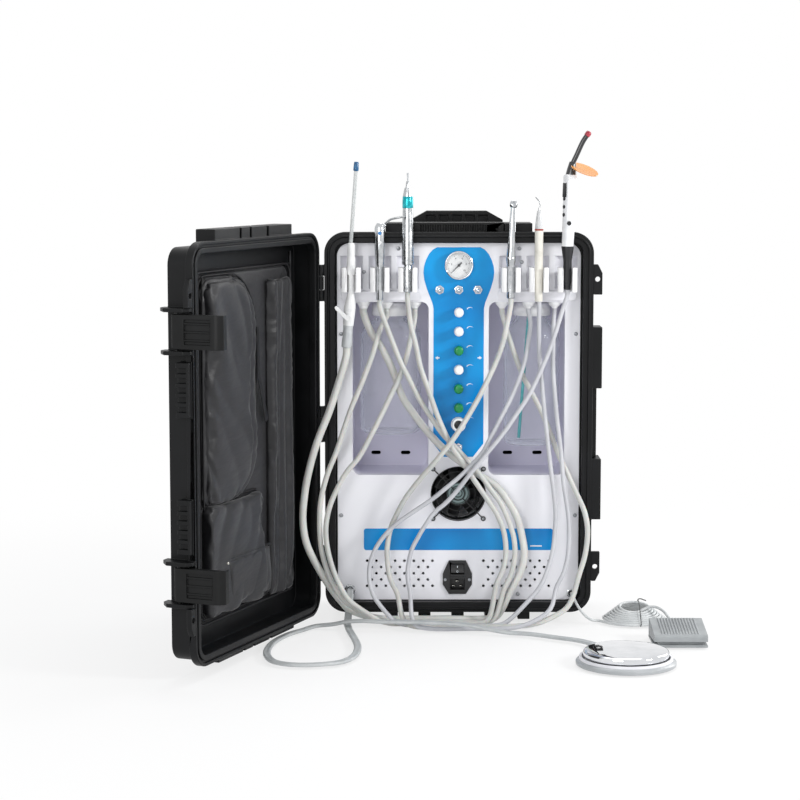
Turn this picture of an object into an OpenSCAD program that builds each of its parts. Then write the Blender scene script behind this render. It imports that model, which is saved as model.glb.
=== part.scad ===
// Portable dental unit: an air and water treatment unit built into an upright wheeled hard case.
// Millimetres, +X right, +Y away from the front, +Z up. The origin is on the floor under the base's centre.

/* [Case] */
// Width across the base's rim.
case_w = 436; // [400:1:480]
// Height of the base's rim.
case_h = 624; // [600:1:680]
// Depth of the base from its rim's face to its back.
base_d = 190; // [180:1:230]
// Depth of the lid.
lid_d = 45; // [40:1:60]
// Thickness of the moulded walls.
wall = 4; // [3:0.5:5]
// Step from the rim's outline in to the body's outline.
body_in = 8; // [6:1:12]
// Outer corner radius of the rim.
corner_r = 34; // [26:1:44]
// Width of the lid's and the base's rim.
rim_w = 17; // [14:1:20]
// Depth of the base's rim.
rim_d = 18; // [14:1:20]
// Height of the runners that the case stands on.
foot_h = 16; // [14:1:24]
// Opening angle of the lid at rest.
lid_open = 112.6; // [100:0.1:118]

/* [Hinge and latches] */
// Distance of the hinge axis from the side of the rims.
hinge_off = 5; // [5:0.5:8]
// Outer radius of the hinge knuckles.
hinge_r = 4.5; // [4:0.1:4.5]
// Radius of the hinge pins.
hinge_pin_r = 2; // [1.5:0.1:2.5]
// Distance of the outer hinges from the case's middle.
hinge_reach = 230; // [180:1:240]
// Distance of the latches from the case's middle.
latch_reach = 184.5; // [180:0.5:190]
// Width of a latch along the case.
latch_w = 50; // [40:1:54]
// Thickness of a latch.
latch_t = 10; // [8:0.5:12]
// Radius of the latch trunnions.
latch_pin_r = 3; // [2.5:0.1:3.5]
// Radius of the padlock holes.
padlock_r = 4.15; // [3.5:0.05:4.5]

/* [Handles and wheels] */
// Half of the top handle's width between its blocks.
top_grip = 73.5; // [60:0.5:80]
// Half of the side handle's length between its blocks.
side_grip = 57.5; // [50:0.5:57.5]
// Radius of the handle trunnions.
handle_pin_r = 4; // [3:0.1:4.5]
// Distance of the trolley tubes from the middle.
tube_x = 62; // [55:1:70]
// Width of a trolley tube.
tube_w = 20; // [16:1:22]
// Depth of a trolley tube.
tube_d = 10; // [8:1:12]
// Length of a trolley tube.
tube_len = 450; // [400:5:460]
// Radius of the wheels.
wheel_r = 27; // [24:0.5:27.5]
// Width of a wheel.
wheel_w = 22; // [18:1:26]
// Distance of the wheels from the middle.
wheel_x = 175; // [165:1:175]
// Radius of the wheel axles.
axle_r = 3; // [2.5:0.1:3.5]

/* [Panel] */
// Width of the front panel.
panel_w = 396; // [390:1:398]
// Height of the front panel.
panel_h = 588; // [580:1:590]
// Thickness of the front panel.
panel_t = 3; // [2:0.5:4]
// Distance of the bottle bays' near side from the middle.
bay_near = 49; // [48:0.5:56]
// Distance of the bottle bays' far side from the middle.
bay_far = 173; // [170:1:175]
// Depth of the bottle bays behind the panel's face.
bay_d = 110; // [108:1:120]
// Height of the bottle bays.
bay_h = 284; // [270:1:300]
// Radius of the hollow flutes behind the instruments.
flute_r = 20; // [16:0.5:20]
// Radius of the air vents.
vent_r = 2.2; // [1.8:0.1:2.6]
// Distance between vents in a row.
vent_pitch = 15.4; // [14:0.1:16]

/* [Controls] */
// Radius of the pressure gauge.
gauge_r = 23.5; // [20:0.5:25]
// Radius of the flow knobs.
knob_r = 7.75; // [6:0.25:9]
// Distance that the flow knobs stand out of the panel.
knob_out = 20; // [16:0.5:22]
// Distance between flow knobs.
knob_pitch = 31.2; // [28:0.1:32]
// Radius of the knob stems.
stem_r = 3; // [2.5:0.1:3.5]
// Distance between toggle switches.
toggle_pitch = 31; // [26:1:34]
// Radius of the regulator knob.
regulator_r = 12.5; // [10:0.5:14]

/* [Fan and mains inlet] */
// Side of the square fan.
fan_side = 92; // [80:1:92]
// Depth of the fan.
fan_d = 25; // [20:1:30]
// Radius of the fan's hub.
fan_hub_r = 19; // [16:1:22]
// Width of the mains inlet's flange.
inlet_w = 48; // [44:1:52]
// Height of the mains inlet's flange.
inlet_h = 56; // [52:1:58]

/* [Bottles] */
// Radius of the waste bottle.
waste_r = 50; // [44:1:50]
// Radius of the water bottle.
water_r = 46; // [42:1:48]
// Radius of the bottle caps.
cap_r = 30.5; // [28:0.5:32]
// Thickness of the bottle walls.
bottle_wall = 2; // [1.5:0.1:3]

/* [Instruments] */
// Distance of the instruments' row in front of the base's middle.
row_y = 108; // [106:1:110]
// Radius of the clips' seats.
seat_r = 7; // [6:0.1:8]
// Height of the clips.
clip_h = 40; // [32:1:44]
// Distance of the clips from the middle, on each side.
clip_x = [83, 128, 174];

/* [Pedals] */
// Place of the round pedal's middle on the floor.
pedal_at = [246, -391];
// Radius of the round pedal's base.
pedal_r = 76; // [68:1:80]
// Radius of the round pedal's disc.
disc_r = 65; // [58:1:66]
// Stroke of the round pedal.
pedal_stroke = 8; // [5:0.5:8]
// Left edge of the switch pedal.
switch_x = 301; // [295:1:310]
// Front edge of the switch pedal.
switch_y = -284; // [-300:1:-275]
// Width of the switch pedal.
switch_w = 84; // [76:1:90]
// Depth of the switch pedal.
switch_d = 80; // [74:1:84]

/* [Hoses and cables] */
// Radius of the suction hose.
suction_r = 6; // [5:0.1:6]
// Radius of the syringe, motor and turbine hoses.
hose_r = 4.3; // [3.5:0.1:4.3]
// Radius of the scaler hose and the curing light cable.
cable_r = 3.6; // [3:0.1:3.6]
// Half of the flat pedal hose's width.
twin_w = 6; // [5:0.5:6]
// Half of the flat pedal hose's thickness.
twin_t = 3; // [2.5:0.1:3.2]
// Radius of the switch cable.
switch_r = 2.3; // [1.8:0.1:2.3]
// Turns of the switch cable's hank.
hank_turns = 7; // [5:1:8]

/* [Fits] */
// Radial clearance of pins that turn in bores.
run_fit = 0.05; // [0.02:0.01:0.08]
// Amount that a pressed pin is larger than its bore.
press_fit = 0.02; // [0.01:0.01:0.04]
// Side clearance of parts that slide or swing past each other.
slide_fit = 0.25; // [0.2:0.05:0.4]
// Gap between an instrument and its seat.
seat_fit = 0.2; // [0.1:0.05:0.3]

/* [Hidden] */
$fn = 48;
e = 0.01;
mid_z = foot_h + case_h / 2;
rim_y = -base_d / 2;
back_y = base_d / 2;
half_w = case_w / 2;
half_h = case_h / 2;
body_w = case_w - 2 * body_in;
body_h = case_h - 2 * body_in;
body_r = corner_r - body_in;
hinge_x = -half_w - hinge_off;
hinge_y = rim_y;
face_y = rim_y + 15;
plate_y = face_y + panel_t;
ledge_t = 6;
body_top = mid_z + body_h / 2;
body_bottom = mid_z - body_h / 2;
floor_z = body_bottom + wall;
// Screws round the panel, from its middle.
rim_screws = [[98, 285], [-98, 285], [191, 146], [-191, 146], [192, -153], [-192, -153],
    [99, -284], [-99, -284]];
// Heights above the case's middle.
bay_top = 198;
ledge_top = 216;
clip_z = mid_z + ledge_top;
gauge_z = mid_z + 258;
toggle_z = mid_z + 218;
knob_z = mid_z + 182;
regulator_z = mid_z - 2;
port_z = mid_z - 40;
fan_x = 0;
fan_z = mid_z - 117;
inlet_x = -1;
inlet_z = mid_z - 256;
rocker_z = inlet_z + 14;
outlet_y = -68;
outlet_h = 10;
outlet_x = [-155, -117, -71, 71, 114, 157];
outlet_r = [suction_r, hose_r, hose_r, hose_r, cable_r, cable_r];
waste_x = -111;
water_x = 122;
bottle_y = -27;
neck_r = 26;
cap_z = mid_z + 173;
cap_h = 22;
waste_bottom = mid_z - 21;
water_bottom = mid_z - 40;
handle_y = -28;
handle_z = mid_z + 315;
side_x = half_w + 1;
side_y = -50;
trunnion_x = half_w + 6;
trunnion_y = rim_y - 23;
tube_y = 82;
wheel_y = 68;
wheel_z = wheel_r + 0.5;
// Half of the fan's screw spacing.
fan_screw = fan_side / 2 - 4.75;

// Centreline of the suction hose, from its outlet to its handle.
suction_route = [
    [-155, -68, 516], [-155, -68, 508], [-150, -74, 493], [-141, -82, 474], [-126, -85, 453],
    [-109, -87, 419], [-92, -89, 373], [-75, -90, 347], [-58, -90, 324], [-42, -91, 305],
    [-22, -91, 285], [4, -92, 265], [35, -94, 244], [63, -96, 225], [83, -98, 198], [96, -100, 174],
    [104, -101, 144], [108, -102, 113], [101, -103, 83], [86, -105, 55], [66, -106, 15], [45, -106, 7],
    [-20, -106, 7], [-85, -107, 7], [-130, -112, 9], [-174, -116, 23], [-192, -119, 40],
    [-213, -122, 69], [-234, -126, 106], [-248, -128, 139], [-253, -130, 174], [-251, -130, 209],
    [-244, -128, 251], [-230, -127, 301], [-209, -122, 354], [-196, -114, 394], [-186, -110, 426],
    [-182, -108, 444], [-182, -108, 454]
];
// Centreline of the syringe hose, from the syringe to its outlet.
syringe_route = [
    [-128, -108, 531], [-128, -108, 520], [-123, -108, 504], [-110, -108, 470], [-96, -108, 434],
    [-80, -108, 402], [-62, -108, 367], [-44, -107, 339], [-26, -106, 313], [-6, -106, 292],
    [14, -106, 270], [34, -107, 248], [54, -108, 220], [69, -109, 199], [81, -110, 172],
    [90, -111, 144], [92, -112, 114], [86, -114, 84], [74, -117, 58], [60, -120, 14], [40, -120, 5],
    [-20, -120, 5], [-90, -121, 5], [-136, -126, 12], [-180, -133, 38], [-199, -133, 61],
    [-213, -130, 90], [-223, -127, 126], [-226, -127, 166], [-224, -125, 206], [-214, -120, 247],
    [-198, -112, 287], [-177, -104, 349], [-158, -103, 395], [-141, -102, 440], [-133, -100, 466],
    [-126, -90, 486], [-117, -72, 503], [-117, -68, 511], [-117, -68, 516]
];
// Centreline of the slow motor hose.
motor_route = [
    [-83, -108, 544], [-83, -108, 532], [-78, -110, 491], [-70, -112, 459], [-62, -114, 422],
    [-50, -116, 388], [-37, -117, 350], [-24, -117, 319], [-11, -117, 293], [7, -117, 267],
    [25, -117, 239], [44, -117, 211], [61, -117, 185], [73, -118, 156], [77, -119, 124],
    [73, -121, 95], [61, -125, 66], [50, -130, 15], [28, -131, 5], [-20, -131, 5], [-88, -132, 5],
    [-112, -133, 6], [-134, -137, 14], [-175, -143, 43], [-191, -141, 66], [-204, -137, 95],
    [-213, -132, 128], [-216, -129, 159], [-212, -125, 188], [-201, -121, 218], [-182, -114, 252],
    [-161, -106, 277], [-133, -100, 329], [-108, -100, 381], [-96, -101, 406], [-84, -95, 441],
    [-78, -88, 468], [-72, -76, 496], [-71, -68, 510], [-71, -68, 516]
];
// Centreline of the turbine hose.
turbine_route = [
    [83, -108, 534], [83, -108, 522], [77, -110, 491], [69, -112, 457], [55, -114, 421],
    [38, -117, 386], [18, -121, 350], [-1, -127, 320], [-18, -127, 296], [-40, -122, 268],
    [-64, -116, 239], [-86, -110, 209], [-100, -107, 183], [-111, -106, 157], [-116, -107, 129],
    [-116, -110, 103], [-111, -116, 75], [-99, -131, 52], [-90, -149, 16], [-66, -156, 5],
    [0, -156, 5], [70, -154, 5], [118, -148, 7], [152, -142, 18], [180, -136, 38], [196, -128, 86],
    [206, -122, 118], [210, -117, 155], [205, -113, 186], [193, -103, 214], [177, -95, 249],
    [163, -92, 278], [153, -90, 304], [138, -89, 342], [128, -88, 362], [116, -88, 385],
    [104, -88, 407], [92, -87, 439], [80, -84, 474], [73, -74, 500], [71, -68, 510], [71, -68, 516]
];
// Centreline of the scaler hose.
scaler_route = [
    [129, -108, 529], [129, -108, 516], [129, -108, 488], [130, -108, 441], [135, -107, 390],
    [140, -105, 340], [145, -105, 298], [150, -107, 256], [155, -109, 216], [158, -111, 186],
    [157, -113, 155], [154, -116, 125], [146, -120, 95], [134, -127, 68], [114, -137, 45],
    [80, -143, 12], [55, -144, 4.5], [0, -144, 4.5], [-70, -144, 4.5], [-103, -142, 11],
    [-132, -133, 41], [-142, -127, 60], [-146, -121, 83], [-143, -117, 107], [-133, -115, 130],
    [-117, -117, 152], [-97, -119, 171], [-70, -120, 190], [-44, -122, 208], [-23, -127, 226],
    [3, -128, 248], [24, -127, 269], [39, -127, 287], [50, -126, 308], [68, -120, 342],
    [85, -114, 375], [99, -108, 408], [108, -101, 437], [113, -92, 464], [117, -78, 490],
    [114, -68, 509], [114, -68, 516]
];
// Centreline of the curing light cable.
light_route = [
    [174, -108, 548], [174, -108, 538], [167, -111, 517], [156, -116, 482], [145, -119, 450],
    [130, -123, 415], [114, -126, 382], [92, -130, 348], [71, -134, 318], [49, -137, 291],
    [18, -134, 252], [-5, -128, 221], [-22, -124, 202], [-40, -121, 186], [-54, -119, 166],
    [-66, -117, 145], [-76, -116, 125], [-82, -119, 100], [-83, -126, 78], [-79, -138, 57],
    [-74, -162, 15], [-48, -167, 4.5], [20, -167, 4.5], [82, -164, 4.5], [118, -157, 13],
    [148, -146, 32], [159, -126, 63], [171, -121, 87], [178, -118, 115], [180, -115, 152],
    [178, -112, 186], [171, -109, 230], [168, -106, 267], [165, -101, 298], [160, -97, 339],
    [156, -96, 381], [153, -94, 423], [154, -86, 465], [155, -75, 496], [157, -68, 509], [157, -68, 516]
];
// Centreline of the flat twin hose from the panel to the round pedal.
pedal_route = [
    [-178, -81.5, 50], [-178, -89, 50], [-178, -99, 42], [-179, -103, 30], [-180, -107, 17],
    [-181, -116, 7], [-181, -132, 3.5], [-176, -180, 3.5], [-166, -245, 3.5], [-161, -300, 3.5],
    [-166, -354, 3.5], [-182, -390, 3.5], [-208, -406, 3.5], [-240, -412, 3.5], [-268, -406, 3.5],
    [-288, -387, 3.5], [-299, -347, 3.5], [-300, -300, 3.5], [-292, -252, 3.5], [-274, -205, 3.5],
    [-250, -169, 3.5], [-232, -145, 4], [-204, -150, 8], [-181, -158, 14], [-155, -166, 17],
    [-125, -172, 17], [-76, -175, 17], [-31, -177, 16], [9, -181, 14], [42, -187, 9], [76, -193, 4],
    [112, -202, 3.5], [152, -227, 3.5], [184, -247, 3.5], [204, -274, 4.5], [213, -300, 6],
    [217, -312, 6]
];
// Centreline of the switch cable from the panel to its hank.
switch_route = [
    [187, -83, 45], [187, -90, 45], [190, -98, 40], [197, -103, 27], [208, -104, 13],
    [220, -100, 4], [229, -97, 2.6],
    [237, -103.5, 2.6]
];
// Middle, mean half sizes, strand spacing and start of the switch cable's hank.
hank_at = [290, -88];
hank_size = [38, 30];
hank_step = 2 * switch_r + 0.7;
hank_from = 215;
hank_all = hank_turns + 0.2;
function hank_lean(u) = 33.5 + 11.5 * sin(hank_from + 360 * u);
function hank_point(u) = let(
        w = (hank_all / 2 - u) * hank_step * cos(hank_lean(u)),
        a = hank_from + 360 * u)
    [hank_at[0] + (hank_size[0] + w) * cos(a), hank_at[1] + (hank_size[1] + w) * sin(a),
        switch_r + 0.3 + u * hank_step * sin(hank_lean(u))];
hank_path = [for (i = [0:round(24 * hank_all)]) hank_point(hank_all * i / round(24 * hank_all))];
hank_gap = min([for (i = [0:len(hank_path) - 13]) for (j = [i + 12:len(hank_path) - 1])
    norm(hank_path[i] - hank_path[j])]) - 2 * switch_r;
echo(hank_gap = hank_gap);
// From the hank's end to the switch pedal's gland.
switch_tail = [
    hank_point(hank_all), [302, -98.6, 19.8], [308, -98.5, 23.2], [316, -100, 26],
    [326, -106, 26.5], [335, -120, 23], [340, -146, 18.5], [341, -176, 18], [341, -198, 18]
];

// ---- Shapes that are used over and over ----

// A box between opposite corners.
module block(a, b) {
    translate(a)
        cube(b - a);
}

// A drawn outline in X and Z, from y0 to y1.
module slab(y0, y1) {
    translate([0, y1, 0])
        rotate([90, 0, 0])
            linear_extrude(y1 - y0)
                children();
}

// An outline in X and Y, from z0 to z1.
module plate(z0, z1) {
    translate([0, 0, z0])
        linear_extrude(z1 - z0)
            children();
}

// An outline in Y and Z, from x0 to x1.
module side_slab(x0, x1) {
    translate([x0, 0, 0])
        rotate([90, 0, 90])
            linear_extrude(x1 - x0)
                children();
}

// A rectangle with rounded corners.
module round_rect(w, h, r) {
    square([w - 2 * r, h], center = true);
    square([w, h - 2 * r], center = true);
    for (x = [-1, 1])
        for (y = [-1, 1])
            translate([x * (w / 2 - r), y * (h / 2 - r)])
                circle(r);
}

// The case's outline, moved in by d.
module case_outline(d) {
    translate([0, mid_z])
        round_rect(case_w - 2 * d, case_h - 2 * d, max(corner_r - d, 4));
}

// Round bars along each axis.
module bar_x(y, z, r, x0, x1) {
    translate([x0, y, z])
        rotate([0, 90, 0])
            cylinder(r = r, h = x1 - x0);
}

module bar_y(x, z, r, y0, y1) {
    translate([x, y1, z])
        rotate([90, 0, 0])
            cylinder(r = r, h = y1 - y0);
}

module bar_z(x, y, r, z0, z1) {
    translate([x, y, z0])
        cylinder(r = r, h = z1 - z0);
}

// A cone along Y, ra at y0 and rb at y1.
module cone_y(x, z, ra, rb, y0, y1) {
    translate([x, y1, z])
        rotate([90, 0, 0])
            cylinder(r1 = rb, r2 = ra, h = y1 - y0);
}

// A cone along Z, ra at z0 and rb at z1.
module cone_z(x, y, ra, rb, z0, z1) {
    translate([x, y, z0])
        cylinder(r1 = ra, r2 = rb, h = z1 - z0);
}

// A round rod from a to b, of radius ra to rb.
module rod(a, b, ra, rb) {
    d = b - a;
    translate(a)
        rotate([0, acos(d[2] / norm(d)), atan2(d[1], d[0])])
            cylinder(r1 = ra, r2 = rb, h = norm(d));
}

// Puts the closed lid's parts where the open lid is.
module on_lid() {
    translate([hinge_x, hinge_y, 0])
        rotate([0, 0, -lid_open])
            translate([-hinge_x, -hinge_y, 0])
                children();
}

// ---- Tubes along a route ----

function unit(v) = v / norm(v);
function spline(a, b, c, d, t) = 0.5 * (2 * b + (c - a) * t + (2 * a - 5 * b + 4 * c - d) * t * t
    + (3 * b - a - 3 * c + d) * t * t * t);
function longer(p) = concat([2 * p[0] - p[1]], p, [2 * p[len(p) - 1] - p[len(p) - 2]]);
function smooth(p) = let(q = longer(p)) concat(
    [for (i = [1:len(q) - 3]) for (t = [0, 0.5]) spline(q[i - 1], q[i], q[i + 1], q[i + 2], t)],
    [p[len(p) - 1]]);
function heading(p, i) = unit(p[min(i + 1, len(p) - 1)] - p[max(i - 1, 0)]);
function headings(p, first, last) = [for (i = [0:len(p) - 1])
    i == 0 ? unit(first) : i == len(p) - 1 ? unit(last) : heading(p, i)];
function across(n, t) = unit(n - (n * t) * t);
function carry(t, n, i) = i >= len(t) ? [] : let(m = across(n, t[i])) concat([m], carry(t, m, i + 1));
function ring(p, t, n, ra, rb, sides) = [for (k = [0:sides - 1])
    p + ra * cos(360 * (k + 0.5) / sides) * n + rb * sin(360 * (k + 0.5) / sides) * cross(t, n)];

// A tube on points p: ra wide along n, rb thick across it.
module tube_on(p, first, last, n, ra, rb, sides) {
    t = headings(p, first, last);
    m = carry(t, n, 0);
    s = sides;
    rings = [for (i = [0:len(p) - 1]) each ring(p[i], t[i], m[i], ra, rb, s)];
    walls = [for (i = [0:len(p) - 2]) for (k = [0:s - 1]) for (h = [0, 1])
        let(a = i * s + k, b = i * s + (k + 1) % s)
            h == 0 ? [a, a + s, b] : [b, a + s, b + s]];
    start = [for (k = [1:s - 2]) [0, k, k + 1]];
    end = [for (k = [1:s - 2]) (len(p) - 1) * s * [1, 1, 1] + [0, k + 1, k]];
    polyhedron(concat(rings), concat(walls, start, end));
}

// A hose on a route of hand-placed points.
module hose(route, ra, rb, sides, n = [0, 1, 0]) {
    last = len(route) - 1;
    tube_on(smooth(route), route[1] - route[0], route[last] - route[last - 1], n, ra, rb, sides);
}

// ---- Case ----

module base_shell() {
    catch_x = half_w - 10;
    color("#17181a")
        difference() {
            union() {
                // Rim, the tongue on its face and the body behind it.
                slab(rim_y, rim_y + rim_d)
                    case_outline(0);
                slab(rim_y - 3, rim_y + e)
                    difference() {
                        case_outline(5.5);
                        case_outline(8.5);
                    }
                slab(rim_y + rim_d - e, back_y)
                    case_outline(body_in);
                // Runners.
                for (x = [-109, -55, 0, 55, 109])
                    block([x - 10, -75, 0], [x + 10, 75, body_bottom + 1]);
                // Blocks that carry the top handle.
                for (s = [-1, 1])
                    translate([s * (top_grip + 0.5 + 22.5), 0, 0])
                        block([-22.5, -80, body_top - 4], [22.5, -16, mid_z + 326]);
                // Blocks that carry the side handle, with the catch ribs.
                for (s = [-1, 1])
                    translate([0, 0, mid_z])
                        mirror([0, 0, s < 0 ? 1 : 0]) {
                            side_slab(catch_x - 4, half_w + 15)
                                polygon([[-92, side_grip + 0.5], [-42, side_grip + 0.5], [-42, 150],
                                    [-50, 158], [-92, 158]]);
                            block([catch_x - 4, rim_y + 41, latch_reach - 21],
                                [half_w - 2, rim_y + 47, latch_reach + 21]);
                        }
                // Hinge knuckles.
                for (c = [-hinge_reach, 0, hinge_reach])
                    for (s = [-1, 1])
                        translate([0, 0, mid_z + c + s * 20.5]) {
                            bar_z(hinge_x, hinge_y, hinge_r, -9, 9);
                            block([hinge_x, hinge_y, -9], [-half_w + 3, hinge_y + hinge_r, 9]);
                        }
            }
            // Opening behind the rim, the ledge's opening and the inside.
            slab(rim_y - 4, plate_y)
                case_outline(rim_w);
            slab(plate_y - e, plate_y + ledge_t + e)
                translate([0, mid_z - 2])
                    round_rect(368, 554, 16);
            block([-half_w + 20, plate_y - e, mid_z + bay_top - 4],
                [half_w - 20, plate_y + ledge_t + e, mid_z + 280]);
            difference() {
                slab(plate_y + ledge_t, back_y - wall)
                    case_outline(body_in + wall);
                // Channels for the trolley tubes and boxes over the wheels stay inside.
                for (s = [-1, 1])
                    translate([s * tube_x, 0, 0])
                        block([-tube_w / 2 - 4, tube_y - 9, floor_z + 140],
                            [tube_w / 2 + 4, back_y, body_top]);
                for (s = [-1, 1])
                    translate([s * wheel_x, 0, 0])
                        block([-wheel_w / 2 - 7, wheel_y - wheel_r - 3, 0],
                            [wheel_w / 2 + 7, back_y, wheel_z + wheel_r + 6.5]);
            }
            for (s = [-1, 1])
                translate([s * tube_x, tube_y, 0])
                    block([-tube_w / 2 - slide_fit, -tube_d / 2 - slide_fit, floor_z + 130],
                        [tube_w / 2 + slide_fit, tube_d / 2 + slide_fit, body_top + 1]);
            for (s = [-1, 1])
                translate([s * wheel_x, 0, 0])
                    block([-wheel_w / 2 - 3, wheel_y - wheel_r - 1, -1],
                        [wheel_w / 2 + 3, back_y + 1, wheel_z + wheel_r + 3.5]);
            for (s = [-1, 1])
                bar_x(wheel_y, wheel_z, axle_r - press_fit, s * wheel_x - 20, s * wheel_x + 20);
            // Bores for the handles and the hinge pins.
            for (s = [-1, 1])
                bar_x(handle_y, handle_z, handle_pin_r + run_fit, s * (top_grip + 6) - 8,
                    s * (top_grip + 6) + 8);
            for (s = [-1, 1])
                bar_z(side_x, side_y, handle_pin_r + run_fit, mid_z + s * (side_grip + 5.5) - 6.5,
                    mid_z + s * (side_grip + 5.5) + 6.5);
            for (c = [-hinge_reach, 0, hinge_reach])
                bar_z(hinge_x, hinge_y, hinge_pin_r - press_fit, mid_z + c - 30, mid_z + c + 30);
        }
    // Padlock plates, fixed to the rim's side.
    x = half_w + 0.05;
    color("#17181a")
        for (s = [-1, 1])
            translate([0, 0, mid_z])
                mirror([0, 0, s < 0 ? 1 : 0])
                    difference() {
                        slab(rim_y, rim_y + 8)
                            polygon([[x, 211], [half_w + 14, 211], [half_w + 14, 246],
                                [half_w + 7, 260], [x, 260]]);
                        bar_y(half_w + 6.5, 236, padlock_r, rim_y - 1, rim_y + 9);
                    }
}

module lid_shell() {
    top = half_h + 16;
    bottom = -half_h - 8;
    color("#141517")
        on_lid()
            difference() {
                union() {
                    slab(rim_y - 12, rim_y)
                        case_outline(0);
                    slab(rim_y - lid_d, rim_y - 12 + e)
                        case_outline(body_in);
                    // Lugs across the top and the bottom.
                    translate([0, 0, mid_z])
                        for (x = [[-131, -49], [-42, 10], [16, 44], [50, 131]]) {
                            block([x[0], rim_y - 40, half_h - 12], [x[1], rim_y - 8, top]);
                            block([x[0], rim_y - 40, bottom], [x[1], rim_y - 8, -half_h + 12]);
                        }
                    for (s = [-1, 1])
                        translate([0, 0, mid_z])
                            mirror([0, 0, s < 0 ? 1 : 0]) {
                                // Ears round the corner that carry a latch.
                                for (c = [-1, 1])
                                    plate(latch_reach + c * 31 - 3, latch_reach + c * 31 + 3)
                                        polygon([[205, -136], [205, -148], [half_w, -148],
                                            [half_w + 14, -136], [half_w + 14, -104],
                                            [half_w + 8, rim_y - 1], [half_w - 4, rim_y - 1]]);
                                // The ribbed side.
                                block([half_w - 12, rim_y - 24, 60], [half_w + 10, rim_y - 3, 140]);
                            }
                    for (c = [-hinge_reach, 0, hinge_reach])
                        translate([0, 0, mid_z + c]) {
                            bar_z(hinge_x, hinge_y, hinge_r, -11, 11);
                            block([hinge_x, hinge_y - hinge_r, -11], [-half_w + 3, hinge_y, 11]);
                        }
                }
                slab(rim_y - lid_d + wall, rim_y - 12)
                    case_outline(body_in + wall);
                slab(rim_y - 12 - e, rim_y + 1)
                    case_outline(rim_w);
                // Groove for the gasket.
                slab(rim_y - 6, rim_y + 1)
                    difference() {
                        case_outline(5);
                        case_outline(9);
                    }
                // Hollows in the lugs and slots in the ribbed side.
                translate([0, 0, mid_z])
                    for (x = [[-131, -49], [50, 131]]) {
                        block([x[0] + 6, rim_y - 41, half_h - 2], [x[1] - 6, rim_y - 14, top - 5]);
                        block([x[0] + 6, rim_y - 41, bottom + 3], [x[1] - 6, rim_y - 14, -half_h + 2]);
                    }
                for (s = [-1, 1])
                    for (k = [0:4])
                        translate([0, 0, mid_z + s * (72 + 14 * k)])
                            block([half_w + 3, rim_y - 25, -4], [half_w + 11, rim_y - 7, 4]);
                for (s = [-1, 1])
                    bar_z(trunnion_x, trunnion_y, latch_pin_r + run_fit, mid_z + s * latch_reach - 33.5,
                        mid_z + s * latch_reach + 33.5);
                for (c = [-hinge_reach, 0, hinge_reach])
                    bar_z(hinge_x, hinge_y, hinge_pin_r + run_fit, mid_z + c - 12, mid_z + c + 12);
            }
    // Padlock plates, between the latches' ears and the rim's corners.
    x = half_w + 0.05;
    z = latch_reach + 34.05;
    color("#141517")
        on_lid()
            for (s = [-1, 1])
                translate([0, 0, mid_z])
                    mirror([0, 0, s < 0 ? 1 : 0])
                        difference() {
                            slab(rim_y - 8, rim_y)
                                polygon([[x, z], [half_w + 14, z], [half_w + 14, 246],
                                    [half_w + 7, 260], [x, 260]]);
                            bar_y(half_w + 6.5, 236, padlock_r, rim_y - 9, rim_y + 1);
                        }
}

module lid_gasket() {
    color("#2b2c2e")
        on_lid()
            slab(rim_y - 6, rim_y - 3.6)
                difference() {
                    case_outline(5);
                    case_outline(9);
                }
}

// Hinge pins and wheel axles.
module case_pins() {
    color("#b9bcc0") {
        for (c = [-hinge_reach, 0, hinge_reach])
            bar_z(hinge_x, hinge_y, hinge_pin_r, mid_z + c - 29.5, mid_z + c + 29.5);
        for (s = [-1, 1])
            bar_x(wheel_y, wheel_z, axle_r, s * wheel_x - wheel_w / 2 - 7.5,
                s * wheel_x + wheel_w / 2 + 7.5);
    }
}

// A latch whose middle is c above the case's middle.
module latch(c) {
    x0 = half_w + 1;
    x1 = x0 + latch_t;
    w = latch_w / 2;
    color("#101113")
        on_lid()
            translate([0, 0, mid_z + c]) {
                difference() {
                    union() {
                        plate(-w, w)
                            polygon([[x0 + 3, -124], [x0 + 8, -125], [x1, -120], [x1, -56],
                                [x1 - 2, -50], [x0 + 3, -43.5], [x0 - 7.5, -43.5], [x0 - 7.5, -47.3],
                                [x0, -47.3], [x0, -121]]);
                        bar_z(trunnion_x, trunnion_y, latch_pin_r, -33, 33);
                    }
                    // Grip hollow in the outer face.
                    block([x1 - 3, -104, -w + 7], [x1 + 1, -62, w - 7]);
                }
                for (z = [-12, 0, 12])
                    block([x1 - 3.5, -104.5, z - 1.5], [x1 - 1, -61.5, z + 1.5]);
            }
}

module latch_upper() latch(latch_reach);

module latch_lower() latch(-latch_reach);

module top_handle() {
    z0 = body_top + 1.5;
    z1 = mid_z + 327;
    g = top_grip - slide_fit;
    color("#101113")
        difference() {
            union() {
                block([-g, -75, z0], [g, -50, z1]);
                for (s = [-1, 1])
                    side_slab(s * (g - 6.5) - 6.5, s * (g - 6.5) + 6.5)
                        polygon([[-51, z0], [handle_y + 4, z0 + 4], [handle_y + 8, handle_z],
                            [handle_y + 4, handle_z + 7], [-51, z1 - 3]]);
                bar_x(handle_y, handle_z, handle_pin_r, -g - 8, -g + 3);
                bar_x(handle_y, handle_z, handle_pin_r, g - 3, g + 8);
            }
            // Ribbed hollows in the grip's face.
            for (x = [[-63, -30], [-26, 30], [34, 63]])
                for (k = [x[0]:4:x[1]])
                    block([k, -76, z0 + 4], [k + 2, -73, z1 - 4]);
        }
}

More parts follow.
